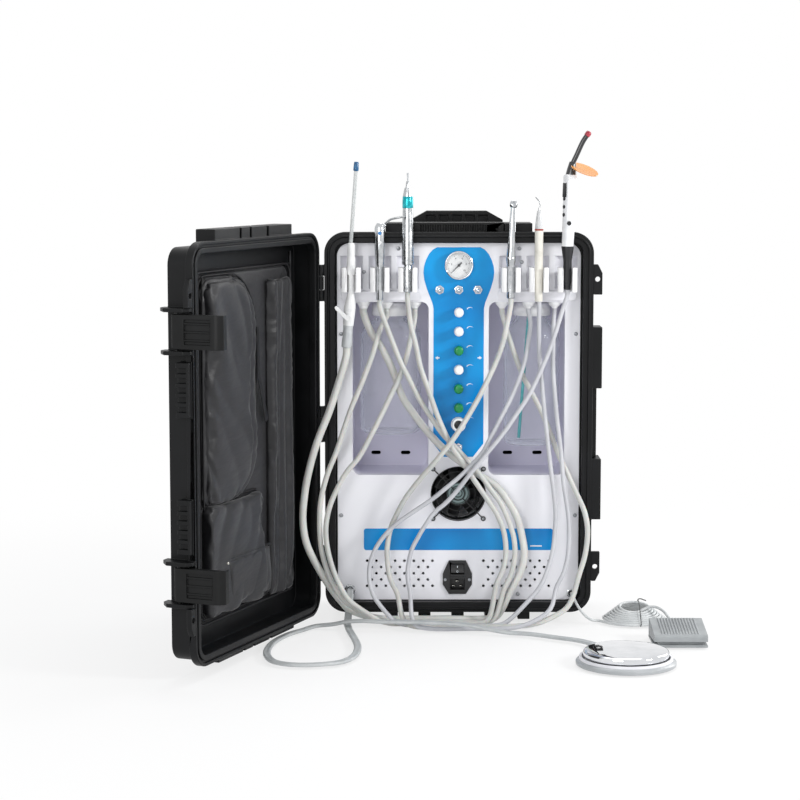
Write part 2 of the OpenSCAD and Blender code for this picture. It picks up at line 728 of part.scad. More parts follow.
module side_handle() {
    g = side_grip - slide_fit;
    color("#101113") {
        block([half_w - 6, -75, mid_z - g], [half_w + 8, -62, mid_z + g]);
        for (s = [-1, 1])
            plate(mid_z + s * (g - 6) - 6, mid_z + s * (g - 6) + 6)
                polygon([[half_w - 6, -63], [half_w - 5.5, side_y + 2], [half_w - 2, side_y + 6],
                    [half_w + 4, side_y + 6], [half_w + 7.5, side_y + 2], [half_w + 8, -63]]);
        for (s = [-1, 1])
            bar_z(side_x, side_y, handle_pin_r, mid_z + s * (g + 3) - 7, mid_z + s * (g + 3) + 7);
    }
}

module trolley_handle() {
    grip_top = mid_z + 342;
    color("#1b1c1e")
        difference() {
            slab(60, 88)
                polygon([[-77.5, body_top + 0.4], [77.5, body_top + 0.4], [77.5, mid_z + 327],
                    [50.5, grip_top], [-50.5, grip_top], [-77.5, mid_z + 327]]);
            for (k = [-2:2])
                block([k * 22 - 8, 59, body_top + 6], [k * 22 + 8, 66, mid_z + 335]);
        }
    color("#9a9da1")
        for (s = [-1, 1])
            translate([s * tube_x, tube_y, 0])
                block([-tube_w / 2, -tube_d / 2, body_top + 8 - tube_len],
                    [tube_w / 2, tube_d / 2, body_top + 0.4]);
}

module wheel(x) {
    color("#1c1d1f")
        difference() {
            union() {
                bar_x(wheel_y, wheel_z, wheel_r, x - wheel_w / 2 + 3, x + wheel_w / 2 - 3);
                bar_x(wheel_y, wheel_z, wheel_r - 4, x - wheel_w / 2, x + wheel_w / 2);
            }
            bar_x(wheel_y, wheel_z, axle_r + run_fit, x - wheel_w, x + wheel_w);
            for (s = [-1, 1])
                translate([x + s * wheel_w / 2, 0, 0])
                    difference() {
                        bar_x(wheel_y, wheel_z, wheel_r - 8, -4, 4);
                        bar_x(wheel_y, wheel_z, 7, -5, 5);
                    }
        }
}

module wheel_left() wheel(-wheel_x);

module wheel_right() wheel(wheel_x);

// ---- Panel and what it carries ----

module front_panel() {
    bay_bottom = bay_top - bay_h;
    color("#f1f1f6")
        difference() {
            union() {
                slab(face_y, plate_y)
                    translate([0, mid_z])
                        round_rect(panel_w, panel_h, 22);
                for (s = [-1, 1])
                    translate([s * (bay_near + bay_far) / 2, 0, mid_z + bay_bottom + bay_h / 2])
                        slab(face_y + 1, face_y + bay_d + 3)
                            round_rect(bay_far - bay_near + 6, bay_h + 6, 15);
                // Shelf over the bays and the flutes above it.
                for (s = [-1, 1])
                    translate([s * 127, 0, mid_z])
                        slab(face_y - 5, face_y + 1)
                            polygon([[-64, 204], [-60, 201], [60, 201], [64, 204], [64, 213],
                                [62, ledge_top], [-62, ledge_top], [-64, 213]]);
                for (s = [-1, 1])
                    for (x = clip_x)
                        intersection() {
                            bar_z(s * x, face_y - 8, flute_r + 3, mid_z + 217, mid_z + 276);
                            block([-220, face_y + 1, 0], [220, 0, 700]);
                        }
            }
            for (s = [-1, 1])
                translate([s * (bay_near + bay_far) / 2, 0, mid_z + bay_bottom + bay_h / 2])
                    slab(face_y - 1, face_y + bay_d)
                        round_rect(bay_far - bay_near, bay_h, 12);
            for (s = [-1, 1])
                for (x = clip_x)
                    bar_z(s * x, face_y - 8, flute_r, mid_z + 220, mid_z + 273);
            // Two slots low in the back of each bay.
            for (s = [-1, 1])
                for (x = [86, 136])
                    translate([s * x, 0, mid_z + bay_bottom + 22])
                        slab(face_y + bay_d - 1, face_y + bay_d + 4)
                            round_rect(16, 6, 2.9);
            // Vents.
            for (s = [-1, 1])
                for (row = [0:4])
                    for (k = [0:(row % 2 == 0 ? 7 : 6) - (row == 2 ? 2 : 0)])
                        translate([s * (42 + (row % 2 == 0 ? 0 : vent_pitch / 2)
                            + (row == 2 ? vent_pitch : 0) + k * vent_pitch), 0, 0])
                            bar_y(0, mid_z - 229 - 10.5 * row, vent_r, face_y - 1, plate_y + 1);
            // Holes for the gauge, the fan, the mains inlet and the two leads.
            bar_y(0, gauge_z, gauge_r - 3, face_y - 1, plate_y + 1);
            bar_y(fan_x, fan_z, fan_side / 2 - 2, face_y - 1, plate_y + 1);
            translate([inlet_x, 0, inlet_z])
                block([-14.5, face_y - 1, -23.5], [14.5, plate_y + 1, 23.5]);
            bar_y(-178, 50, 9, face_y - 1, plate_y + 1);
            bar_y(187, 45, 7, face_y - 1, plate_y + 1);
            // Screw holes.
            for (x = [-fan_screw, fan_screw])
                for (z = [-fan_screw, fan_screw])
                    bar_y(fan_x + x, fan_z + z, 2.1, face_y - 1, plate_y + 1);
            for (p = rim_screws)
                bar_y(p[0], mid_z + p[1], 1.7, face_y - 1, plate_y + 1);
        }
}

// Six open seats on necks in front of the panel.
module instrument_clips() {
    color("#fbfbfc")
        for (s = [-1, 1])
            for (x = clip_x)
                translate([s * x, -row_y, clip_z])
                    difference() {
                        union() {
                            plate(0, clip_h)
                                polygon([[-15.5, -10], [-11, -12], [11, -12], [15.5, -10],
                                    [15.5, 8], [10, 12], [-10, 12], [-15.5, 8]]);
                            block([-8, 10, 0], [8, row_y + face_y, clip_h - 6]);
                        }
                        bar_z(0, 0, seat_r, -1, clip_h + 1);
                        block([-seat_r, -13, -1], [seat_r, 0, clip_h + 1]);
                        cone_z(0, 0, seat_r, seat_r + 7, clip_h - 8, clip_h + e);
                    }
}

// Small screws with a washer head.
module panel_screws() {
    color("#6f7175") {
        for (p = rim_screws) {
            bar_y(p[0], mid_z + p[1], 3.2, face_y - 2, face_y);
            bar_y(p[0], mid_z + p[1], 1.5, face_y - e, plate_y + 4);
        }
        for (p = [[-154, 247], [102, 263]])
            bar_y(p[0], mid_z + p[1], 3, face_y - 2, face_y);
        for (x = [-20, 20])
            bar_y(inlet_x + x, mid_z - 260, 2.6, face_y - 4.6, face_y - 3);
    }
}

// Toggle bushes, stems, outlets, caps, the port and the leads' glands.
module panel_fittings() {
    color("#c9cbce")
        for (k = [-1:1])
            difference() {
                union() {
                    bar_y(k * toggle_pitch, toggle_z, 6.5, face_y - 3, face_y);
                    bar_y(k * toggle_pitch, toggle_z, 5, face_y - 8, face_y - 2);
                }
                bar_y(k * toggle_pitch, toggle_z, 3.5 + run_fit, face_y - 6.3, face_y);
                cone_y(k * toggle_pitch, toggle_z, 3.9, 2.9, face_y - 8 - e, face_y - 6.3 + e);
            }
    color("#c9cbce") {
        for (k = [0:5])
            bar_y(0, knob_z - knob_pitch * k, stem_r, face_y - knob_out + 9, face_y);
        bar_y(0, regulator_z, stem_r, face_y - 9, face_y);
        bar_y(0, regulator_z, regulator_r, face_y - 2, face_y);
        bar_y(0, port_z, 7, face_y - 3, face_y);
        bar_y(0, port_z, 4.5, face_y - 12, face_y - 3 + e);
    }
    // Outlets of the six hoses, on the bays' ceilings.
    color("#f4f4f4")
        for (i = [0:5])
            cone_z(outlet_x[i], outlet_y, outlet_r[i] + 0.8, 8, mid_z + bay_top - outlet_h,
                mid_z + bay_top);
    // Caps that the bottles screw into, and the water tube.
    color("#f4f4f4")
        for (x = [waste_x, water_x])
            difference() {
                union() {
                    bar_z(x, bottle_y, cap_r, cap_z, cap_z + cap_h);
                    bar_z(x, bottle_y, 15, cap_z + cap_h - e, mid_z + bay_top);
                }
                bar_z(x, bottle_y, neck_r + slide_fit, cap_z - 1, cap_z + cap_h - 4);
            }
    color("#38b6b8")
        rod([water_x - 4, bottle_y, cap_z + 17.7], [water_x - 20, bottle_y + 6, water_bottom + 8], 2.5, 2.5);
    // Glands of the two pedal leads.
    color("#c8c8cc") {
        slab(face_y - 1.5, plate_y)
            translate([-178, 50])
                round_rect(17, 14, 6.5);
        bar_y(187, 45, 7, face_y, plate_y);
        bar_y(187, 45, 5, face_y - 3, face_y + e);
    }
}

module gauge_case() {
    color("#c6c8cb")
        difference() {
            union() {
                bar_y(0, gauge_z, gauge_r, face_y - 12, face_y);
                bar_y(0, gauge_z, gauge_r - 3.3, face_y - e, face_y + 26);
                bar_y(0, gauge_z, 5, face_y + 20, face_y + 40);
            }
            bar_y(0, gauge_z, gauge_r - 2.5, face_y - 13, face_y - 4);
        }
    color("#f6f6f6")
        difference() {
            bar_y(0, gauge_z, gauge_r - 2.5, face_y - 5, face_y - 4);
            bar_y(0, gauge_z, 0.8, face_y - 6, face_y - 3);
        }
    color("#dfe6ea", 0.35)
        bar_y(0, gauge_z, gauge_r - 2.5, face_y - 11, face_y - 9.6);
}

module gauge_needle() {
    color("#1a1a1a")
        translate([0, 0, gauge_z]) {
            rotate([0, 45, 0])
                slab(face_y - 7.4, face_y - 6.6)
                    polygon([[-1.2, 8], [1.2, 8], [0.5, -16], [-0.5, -16]]);
            bar_y(0, 0, 2.4, face_y - 8, face_y - 5.4);
            bar_y(0, 0, 0.75, face_y - 5.5, face_y - 4.2);
        }
}

module toggle(k) {
    color("#d6d6d8")
        translate([k * toggle_pitch, face_y - 4, toggle_z]) {
            sphere(3.5);
            rotate([90, 0, 0]) {
                cylinder(r1 = 1.3, r2 = 2.1, h = 19);
                translate([0, 0, 19])
                    sphere(2.1);
            }
        }
}

module toggle_1() toggle(-1);

module toggle_2() toggle(0);

module toggle_3() toggle(1);

module flow_knob(k, tint) {
    z = knob_z - knob_pitch * k;
    color(tint)
        difference() {
            union() {
                bar_y(0, z, knob_r, face_y - knob_out + 2, face_y - 3);
                bar_y(0, z, knob_r - 1.2, face_y - knob_out, face_y - 2.5);
            }
            bar_y(0, z, stem_r + run_fit, face_y - knob_out + 8.5, face_y);
        }
}

module flow_knob_1() flow_knob(0, "#f3f3f3");

module flow_knob_2() flow_knob(1, "#f3f3f3");

module flow_knob_3() flow_knob(2, "#0e9c55");

module flow_knob_4() flow_knob(3, "#f3f3f3");

module flow_knob_5() flow_knob(4, "#0e9c55");

module flow_knob_6() flow_knob(5, "#0e9c55");

module regulator_knob() {
    color("#e9e9ea")
        difference() {
            bar_y(0, regulator_z, regulator_r - 1, face_y - 15, face_y - 2.3);
            bar_y(0, regulator_z, regulator_r - 5, face_y - 16, face_y - 11);
            bar_y(0, regulator_z, stem_r + run_fit, face_y - 9.5, face_y);
        }
}

module fan_frame() {
    color("#1d1e20")
        translate([fan_x, plate_y, fan_z])
            difference() {
                slab(0, fan_d)
                    round_rect(fan_side, fan_side, 6);
                difference() {
                    bar_y(0, 0, fan_side / 2 - 2, -1, fan_d + 1);
                    bar_y(0, 0, fan_hub_r + 2, fan_d - 4, fan_d);
                    bar_y(0, 0, 5, fan_d - 16, fan_d);
                    for (a = [45, 135, 225, 315])
                        rotate([0, a, 0])
                            block([0, fan_d - 4, -3], [fan_side / 2, fan_d, 3]);
                }
                bar_y(0, 0, 1.5 + run_fit, fan_d - 17, fan_d - 2);
                for (x = [-fan_screw, fan_screw])
                    for (z = [-fan_screw, fan_screw])
                        bar_y(x, z, 2, -1, fan_d + 1);
            }
}

module fan_rotor() {
    color("#26282a")
        translate([fan_x, plate_y, fan_z]) {
            difference() {
                bar_y(0, 0, fan_hub_r, 2, fan_d - 5);
                bar_y(0, 0, fan_hub_r - 2, 4.5, fan_d - 4);
            }
            bar_y(0, 0, 1.5, 3, fan_d - 3);
            for (a = [0:360 / 7:359])
                rotate([0, a, 0])
                    translate([fan_hub_r - 1, 11, 0])
                        rotate([38, 0, 0])
                            block([0, -1, -10], [fan_side / 2 - 5 - fan_hub_r, 1, 10]);
        }
}

// Wire guard with rings, four arms and its screws.
module fan_guard() {
    color("#25272a")
        translate([fan_x, face_y, fan_z]) {
            for (r = [29, 37, 45])
                difference() {
                    bar_y(0, 0, r, -3, -1);
                    bar_y(0, 0, r - 2, -4, 0);
                }
            for (a = [45, 135, 225, 315])
                rotate([0, a, 0])
                    block([fan_hub_r - 3, -4.2, -1.2], [fan_screw * sqrt(2) - 1.5, -2.4, 1.2]);
            bar_y(0, 0, fan_hub_r, -4.6, -2.9);
            for (x = [-fan_screw, fan_screw])
                for (z = [-fan_screw, fan_screw]) {
                    bar_y(x, z, 4, -4.5, 0);
                    bar_y(x, z, 2, -1, panel_t + 6);
                }
        }
}

module mains_inlet() {
    w = inlet_w / 2;
    h = inlet_h / 2;
    color("#141416")
        translate([inlet_x, face_y, inlet_z])
            difference() {
                union() {
                    slab(-3, 0)
                        polygon([[-w, 6], [-14, h], [14, h], [w, 6], [w, -12], [14, -h], [-14, -h],
                            [-w, -12]]);
                    block([-14, -e, -23], [14, 38, 23]);
                    block([-12, -4.5, 1], [12, -2, 5]);
                }
                // Pocket of the rocker with its pivot, and the socket.
                block([-11, -4, rocker_z - inlet_z - 8.5], [11, 8, rocker_z - inlet_z + 8.5]);
                bar_x(0, rocker_z - inlet_z, 1 + run_fit, -12.5, 12.5);
                block([-12, -4, -21], [12, 16, -3]);
            }
    // Three pins of the socket.
    color("#b9bcc0")
        translate([inlet_x, face_y, inlet_z]) {
            block([-2, 3, -9], [2, 17, -7]);
            block([-8, 3, -17], [-4, 17, -15]);
            block([4, 3, -17], [8, 17, -15]);
        }
}

module rocker_switch() {
    color("#19191b")
        translate([inlet_x, face_y, rocker_z]) {
            rotate([-10, 0, 0])
                side_slab(-10.6, 10.6)
                    polygon([[-6, 7], [-4, 0], [-6, -7], [3, -5], [3, 5]]);
            bar_x(0, 0, 1, -12.2, 12.2);
        }
}

// A bottle with a neck, hollow inside.
module bottle(x, r, bottom) {
    shoulder = cap_z - 26;
    color("#e8edf2", 0.35)
        translate([x, bottle_y, 0])
            difference() {
                union() {
                    bar_z(0, 0, r, bottom + 6, shoulder);
                    cone_z(0, 0, r - 6, r, bottom, bottom + 6);
                    cone_z(0, 0, r, neck_r, shoulder - e, cap_z - 4);
                    bar_z(0, 0, neck_r, cap_z - 4 - e, cap_z + cap_h - 4.4);
                }
                bar_z(0, 0, r - bottle_wall, bottom + 6, shoulder);
                cone_z(0, 0, r - 6 - bottle_wall, r - bottle_wall, bottom + 2, bottom + 6 + e);
                cone_z(0, 0, r - bottle_wall, neck_r - bottle_wall, shoulder - 2 * e, cap_z - 4);
                bar_z(0, 0, neck_r - bottle_wall, cap_z - 4 - 2 * e, cap_z + cap_h);
            }
}

module waste_bottle() bottle(waste_x, waste_r, waste_bottom);

module water_bottle() bottle(water_x, water_r, water_bottom);

// Air tank on two feet, with the pump on a saddle over it.
module compressor() {
    tank_y = 22;
    tank_z = floor_z + 44;
    pump_z = tank_z + 84;
    color("#d8dade") {
        bar_x(tank_y, tank_z, 38, -130, 130);
        for (x = [-90, 90])
            block([x - 12, tank_y - 26, floor_z], [x + 12, tank_y + 26, tank_z - 20]);
        block([-62, tank_y - 20, tank_z + 30], [62, tank_y + 20, pump_z - 36]);
    }
    color("#8d9196") {
        bar_x(tank_y, pump_z, 40, -45, 45);
        for (s = [-1, 1]) {
            translate([s * 60, tank_y, pump_z])
                block([-16, -24, -30], [16, 24, 34]);
            bar_z(s * 60, tank_y, 17, pump_z + 33, pump_z + 46);
        }
    }
}

// ---- Instruments in their seats ----

module suction_handle() {
    x = -clip_x[2];
    y = -row_y;
    color("#eef0f0") {
        rod([x - 1, y, 620], [x + 8, y, 740], 3.1, 3.1);
        bar_z(x, y, seat_r - seat_fit, clip_z + clip_h - 12, clip_z + clip_h + 16);
        bar_z(x, y, 6.2, clip_z + clip_h + 16 - e, 623);
        rod([x, y, 543], [x, y, clip_z + clip_h - 12 + e], 4.2, 4.2);
        rod([x, y, 544], [x - 3, y, 520], 5, 9.5);
        rod([x - 2.7, y, 523], [x - 5, y, 490], 8.6, 8.4);
        bar_y(x - 5, 503, 2, y - 13.6, y);
    }
    color("#c3c6c8") {
        rod([x - 4.8, y, 493], [x - 7.6, y, 462], 7.8, 7.8);
        bar_z(x - 8, y, 8.4, 454, 466);
    }
    color("#1f6fb5")
        rod([x + 8, y, 738], [x + 9, y, 752], 4.4, 3.9);
}

module suction_lever() {
    x = -clip_x[2] - 5;
    y = -row_y - 9.8;
    color("#f2f3f3")
        difference() {
            union() {
                bar_y(x, 503, 5, y - 3.6, y);
                slab(y - 3.6, y)
                    polygon([[x - 2, 507], [x - 19, 523], [x - 22, 520], [x - 20, 516], [x - 3, 499]]);
            }
            bar_y(x, 503, 2 + run_fit, y - 5, y + 1);
        }
}

module syringe_body() {
    x = -clip_x[1];
    y = -row_y;
    color("#d9dadb")
        difference() {
            union() {
                bar_z(x, y, 5.6, 531, 545);
                bar_z(x, y, seat_r - seat_fit, 545 - e, 586);
                cone_z(x, y, seat_r - seat_fit, 8.5, 586 - e, 612);
                bar_z(x, y, 8.5, 612 - e, 648);
                cone_z(x, y, 8.5, 5, 648 - e, 655);
                rod([x + 2, y, 648], [x + 16, y - 8, 660], 2.6, 2);
                rod([x + 16, y - 8, 660], [x + 39, y - 16, 666], 2, 1.6);
                translate([x + 16, y - 8, 660])
                    sphere(2.4);
            }
            for (z = [624, 639])
                bar_y(x, z, 3 + run_fit, y - 10, y - 2.5);
        }
}

module syringe_button(z, tint) {
    color(tint)
        bar_y(-clip_x[1], z, 3, -row_y - 11, -row_y - 5);
}

module syringe_button_air() syringe_button(639, "#3c86c6");

module syringe_button_water() syringe_button(624, "#e6e6e6");

module slow_handpiece() {
    x = -clip_x[0];
    y = -row_y;
    color("#cfd1d3")
        difference() {
            union() {
                bar_z(x, y, seat_r - seat_fit, 544, 588);
                bar_z(x, y, 9.6, 588 - e, 640);
                cone_z(x, y, 9.6, 8, 640 - e, 679);
                cone_z(x, y, 8, 5, 698 - e, 712);
                cone_z(x, y, 3.6, 2.6, 712 - e, 722);
            }
            bar_z(x, y, 1.2 + run_fit, 711, 723);
        }
    color("#17a8a8")
        cone_z(x, y, 8.7, 8.2, 679 - e, 698);
}

module slow_bur() {
    color("#b8bbbe")
        bar_z(-clip_x[0], -row_y, 1.2, 711.5, 731);
    color("#b8bbbe")
        bar_z(-clip_x[0], -row_y, 1.6, 731 - e, 735);
}

module turbine_handpiece() {
    x = clip_x[0];
    y = -row_y;
    color("#cfd1d3") {
        bar_z(x, y, seat_r - seat_fit, 534, 590);
        cone_z(x, y, seat_r - seat_fit, 8, 590 - e, 600);
        rod([x, y, 597], [x + 3, y, 674], 7.5, 4.4);
        rod([x + 4, y - 7, 687], [x + 4, y + 6, 683], 6.3, 6.3);
        rod([x + 2.6, y, 668], [x + 4, y, 684], 3.6, 5.2);
        rod([x + 4, y - 6, 687], [x + 4, y - 16, 690], 1, 0.8);
    }
}

module scaler_handpiece() {
    x = clip_x[1];
    y = -row_y;
    color("#f0efe8") {
        bar_z(x, y, seat_r - seat_fit, 529, 643);
        cone_z(x, y, seat_r - seat_fit, 3, 648 - e, 675);
        rod([x, y, 674], [x + 2, y, 683], 1.8, 1.3);
        rod([x + 2, y, 682], [x - 6, y, 697], 1.3, 0.8);
    }
    color("#c23a34")
        bar_z(x, y, seat_r - seat_fit + 0.3, 643 - e, 648);
}

module curing_light() {
    x = clip_x[2];
    y = -row_y;
    color("#1c1c1f") {
        bar_z(x, y, 5.6, 548, 560);
        bar_z(x, y, seat_r - seat_fit, 560 - e, 596);
        cone_z(x, y, seat_r - seat_fit, 10, 596 - e, 618);
    }
    color("#eef0f2")
        difference() {
            rod([x, y, 616], [x + 4, y, 732], 9.5, 11.5);
            bar_y(x + 1.3, 655, 3.5 + run_fit, y - 14, y - 4.5);
        }
    color("#1c1c1f") {
        rod([x + 3.9, y, 728], [x + 7, y, 752], 9, 5.5);
        rod([x + 6.2, y, 747], [x + 24, y, 787], 4.4, 4);
        translate([x + 24, y, 787])
            sphere(4.4);
        rod([x + 24, y, 787], [x + 34, y, 801], 4, 4);
    }
    color("#f0942a", 0.6)
        rod([x + 25.5, y - 0.5, 739.6], [x + 26.5, y - 1.5, 742.4], 23.5, 23.5);
}

module curing_button() {
    color("#2d2d30")
        bar_y(clip_x[2] + 1.3, 655, 3.5, -row_y - 12.4, -row_y - 6.5);
}

// ---- Pedals ----

module round_pedal_base() {
    color("#e3e4e6")
        translate([pedal_at[0], pedal_at[1], 0])
            difference() {
                union() {
                    bar_z(0, 0, pedal_r, 0, 5);
                    cone_z(0, 0, pedal_r, pedal_r - 4, 5 - e, 8);
                    bar_z(0, 0, pedal_r - 5, 8 - e, 12);
                    rod([-24.6, 67.7, 6], [-28.7, 78.9, 6], 5.2, 5.2);
                }
                difference() {
                    bar_z(0, 0, disc_r + 2, 4, 13);
                    bar_z(0, 0, 12, 0, 12);
                }
                bar_z(0, 0, 8 + run_fit, 1.5, 13);
            }
}

module round_pedal_disc() {
    color("#d5d7da")
        translate([pedal_at[0], pedal_at[1], 0]) {
            difference() {
                union() {
                    bar_z(0, 0, disc_r, 12.4, 20);
                    cone_z(0, 0, disc_r, disc_r - 3, 20 - e, 23);
                    cone_z(0, 0, disc_r - 3, 30, 23 - e, 25.5);
                }
                bar_z(0, 0, disc_r - 4, 12, 20.8);
            }
            bar_z(0, 0, 8, 9.7, 21);
        }
}

module box_pedal_base() {
    x1 = switch_x + switch_w;
    y1 = switch_y + switch_d;
    color("#9aa3a4")
        difference() {
            union() {
                block([switch_x, switch_y, 0], [x1, y1, 4]);
                block([switch_x + 6, switch_y + 6, 4 - e], [x1 - 6, y1 - 5, 12]);
                bar_x(y1 - 11, 9, 2, switch_x + 2.2, x1 - 2.2);
                // Cable gland at the back.
                block([switch_x + 35, y1 - 7, 4 - e], [switch_x + 45, y1, 24]);
                bar_y(switch_x + 40, 18, 4, y1 - 1, y1 + 6);
            }
            block([switch_x + 9, switch_y + 9, 4], [x1 - 9, y1 - 20, 13]);
        }
}

module box_pedal_top() {
    x1 = switch_x + switch_w;
    y1 = switch_y + switch_d;
    color("#a8b0b0")
        difference() {
            union() {
                side_slab(switch_x, x1)
                    polygon([[switch_y, 9], [switch_y, 17], [switch_y + 3, 20], [y1 - 4, 31],
                        [y1 - 1, 28], [y1 - 1, 5], [y1 - 16, 5]]);
                for (k = [0:12])
                    side_slab(switch_x + 12.6 + 4.7 * k, switch_x + 14.8 + 4.7 * k)
                        polygon([[switch_y + 5, 18], [switch_y + 5, 21.6], [y1 - 7, 32.2], [y1 - 7, 28]]);
            }
            side_slab(switch_x + 3, x1 - 3)
                polygon([[switch_y + 3, 8], [switch_y + 3, 16], [y1 - 4, 27.4], [y1 - 4, 4],
                    [y1 - 17, 4]]);
            bar_x(y1 - 11, 9, 2 + run_fit, switch_x - 1, x1 + 1);
            block([switch_x + 34, y1 - 8, 4], [switch_x + 46, y1 + 1, 25]);
        }
}

// ---- Soft pieces ----

// Zipped organiser on the lid's inside with its four pockets.
module lid_pouch() {
    back = rim_y - lid_d + wall;
    color("#161718")
        on_lid() {
            slab(back, back + 11)
                translate([-8.5, 328])
                    round_rect(329, 530, 20);
            slab(back + 11 - e, back + 25)
                translate([55, 415])
                    round_rect(172, 328, 22);
            slab(back + 11 - e, back + 21)
                translate([-119, 319])
                    round_rect(106, 512, 16);
            slab(back + 11 - e, back + 26)
                translate([51, 161])
                    round_rect(197, 180, 14);
            slab(back + 12, back + 33)
                translate([11, 119])
                    round_rect(155, 80, 6);
        }
}

module suction_hose() {
    color("#c4c8ca")
        hose(suction_route, suction_r, suction_r, 8);
}

module syringe_hose() {
    color("#cfd2d2")
        hose(syringe_route, hose_r, hose_r, 8);
}

module motor_hose() {
    color("#cfd2d2")
        hose(motor_route, hose_r, hose_r, 8);
}

module turbine_hose() {
    color("#cfd2d2")
        hose(turbine_route, hose_r, hose_r, 8);
}

module scaler_hose() {
    color("#c6cad0")
        hose(scaler_route, cable_r, cable_r, 8);
}

module light_cable() {
    color("#c6cad0")
        hose(light_route, cable_r, cable_r, 8);
}

module round_pedal_hose() {
    color("#b9bdbf")
        hose(pedal_route, twin_w, twin_t, 8, [1, 0, 0]);
}

module box_pedal_cable() {
    route = concat(switch_route, [hank_point(0)]);
    color("#c9ccce") {
        tube_on(smooth(route), route[1] - route[0], hank_point(0.01) - hank_point(0), [1, 0, 0],
            switch_r, switch_r, 8);
        tube_on(smooth(switch_tail), hank_point(hank_all) - hank_point(hank_all - 0.01), [0, -1, 0],
            [0, 0, 1], switch_r, switch_r, 8);
    }
}

module cable_hank() {
    last = len(hank_path) - 1;
    color("#c9ccce")
        tube_on(hank_path, hank_point(0.01) - hank_point(0),
            hank_point(hank_all) - hank_point(hank_all - 0.01), [0, 0, 1], switch_r, switch_r, 6);
}

base_shell();
lid_shell();
lid_gasket();
case_pins();
latch_upper();
latch_lower();
top_handle();
side_handle();
trolley_handle();
wheel_left();
wheel_right();
front_panel();
instrument_clips();
panel_screws();
panel_fittings();
gauge_case();
gauge_needle();
toggle_1();
toggle_2();
toggle_3();
flow_knob_1();
flow_knob_2();
flow_knob_3();
flow_knob_4();
flow_knob_5();
flow_knob_6();
regulator_knob();
fan_frame();
fan_rotor();
fan_guard();
mains_inlet();
rocker_switch();
waste_bottle();
water_bottle();
compressor();
suction_handle();
suction_lever();
syringe_body();
syringe_button_air();
syringe_button_water();
slow_handpiece();
slow_bur();
turbine_handpiece();
scaler_handpiece();
curing_light();
curing_button();
round_pedal_base();
round_pedal_disc();
box_pedal_base();
box_pedal_top();
lid_pouch();
suction_hose();
syringe_hose();
motor_hose();
turbine_hose();
scaler_hose();
light_cable();
round_pedal_hose();
box_pedal_cable();
cable_hank();
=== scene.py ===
import math
import random
import bpy
from mathutils import Matrix, Vector, noise


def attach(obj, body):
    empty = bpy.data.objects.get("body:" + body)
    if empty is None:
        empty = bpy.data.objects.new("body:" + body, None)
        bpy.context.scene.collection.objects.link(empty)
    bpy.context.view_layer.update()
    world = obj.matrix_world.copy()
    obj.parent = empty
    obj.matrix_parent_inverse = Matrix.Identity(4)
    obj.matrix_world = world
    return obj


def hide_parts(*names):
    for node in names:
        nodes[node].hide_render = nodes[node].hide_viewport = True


# Portable dental unit: an air and water treatment unit built into an upright wheeled hard case.
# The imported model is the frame; everything below dresses it in the order it is put together.
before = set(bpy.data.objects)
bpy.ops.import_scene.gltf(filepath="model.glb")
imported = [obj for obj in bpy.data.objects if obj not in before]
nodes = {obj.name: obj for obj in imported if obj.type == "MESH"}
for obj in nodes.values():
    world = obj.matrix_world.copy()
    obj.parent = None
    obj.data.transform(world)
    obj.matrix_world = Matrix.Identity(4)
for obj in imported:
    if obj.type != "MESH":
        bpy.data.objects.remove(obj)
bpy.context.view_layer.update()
MM = 0.001

# ---- Camera ----
# It stands 3.6 m in front of the case, a little above the floor's middle, and looks down by 6.5 degrees.

bpy.ops.object.select_all(action="DESELECT")
bpy.ops.object.camera_add(location=(-0.0955, -3.606, 0.770), rotation=(math.radians(83.46), 0, 0))
camera = bpy.context.object
camera.name = "camera"
camera.data.sensor_width = 36.0
camera.data.lens = 97.74
camera.data.clip_end = 40.0
bpy.context.scene.camera = camera

# ---- Instrument hoses ----
# Soft silicone and vinyl tubes, extruded, pale grey and a little glossy. Each is pushed on the barb
# of a white outlet in the ceiling of a bottle bay and runs in a loose loop to its instrument.


def linear(code):
    """An sRGB hex colour as the linear colour that a shader takes."""
    parts = [int(code[i:i + 2], 16) / 255 for i in (1, 3, 5)]
    parts = [c / 12.92 if c <= 0.04045 else ((c + 0.055) / 1.055) ** 2.4 for c in parts]
    return (*parts, 1.0)


def add(tree, kind, settings, sockets):
    """Adds a node. A socket's value is a number, a colour, or another node's output to link."""
    made = tree.nodes.new(kind)
    for key, value in settings.items():
        setattr(made, key, value)
    for key, value in sockets.items():
        if isinstance(value, bpy.types.NodeSocket):
            tree.links.new(value, made.inputs[key])
        else:
            made.inputs[key].default_value = value
    return made


def surface(name, roughness, metallic=0.0, ior=1.5, **constants):
    """A new material with a Principled shader that has its constant values."""
    made = bpy.data.materials.new(name)
    made.use_nodes = True
    tree = made.node_tree
    shader = next(n for n in tree.nodes if n.type == "BSDF_PRINCIPLED")
    shader.inputs["Roughness"].default_value = roughness
    shader.inputs["Metallic"].default_value = metallic
    shader.inputs["IOR"].default_value = ior
    for key, value in constants.items():
        shader.inputs[key.replace("_", " ")].default_value = value
    place = add(tree, "ShaderNodeTexCoord", {}, {}).outputs["Object"]
    return made, tree, shader, place


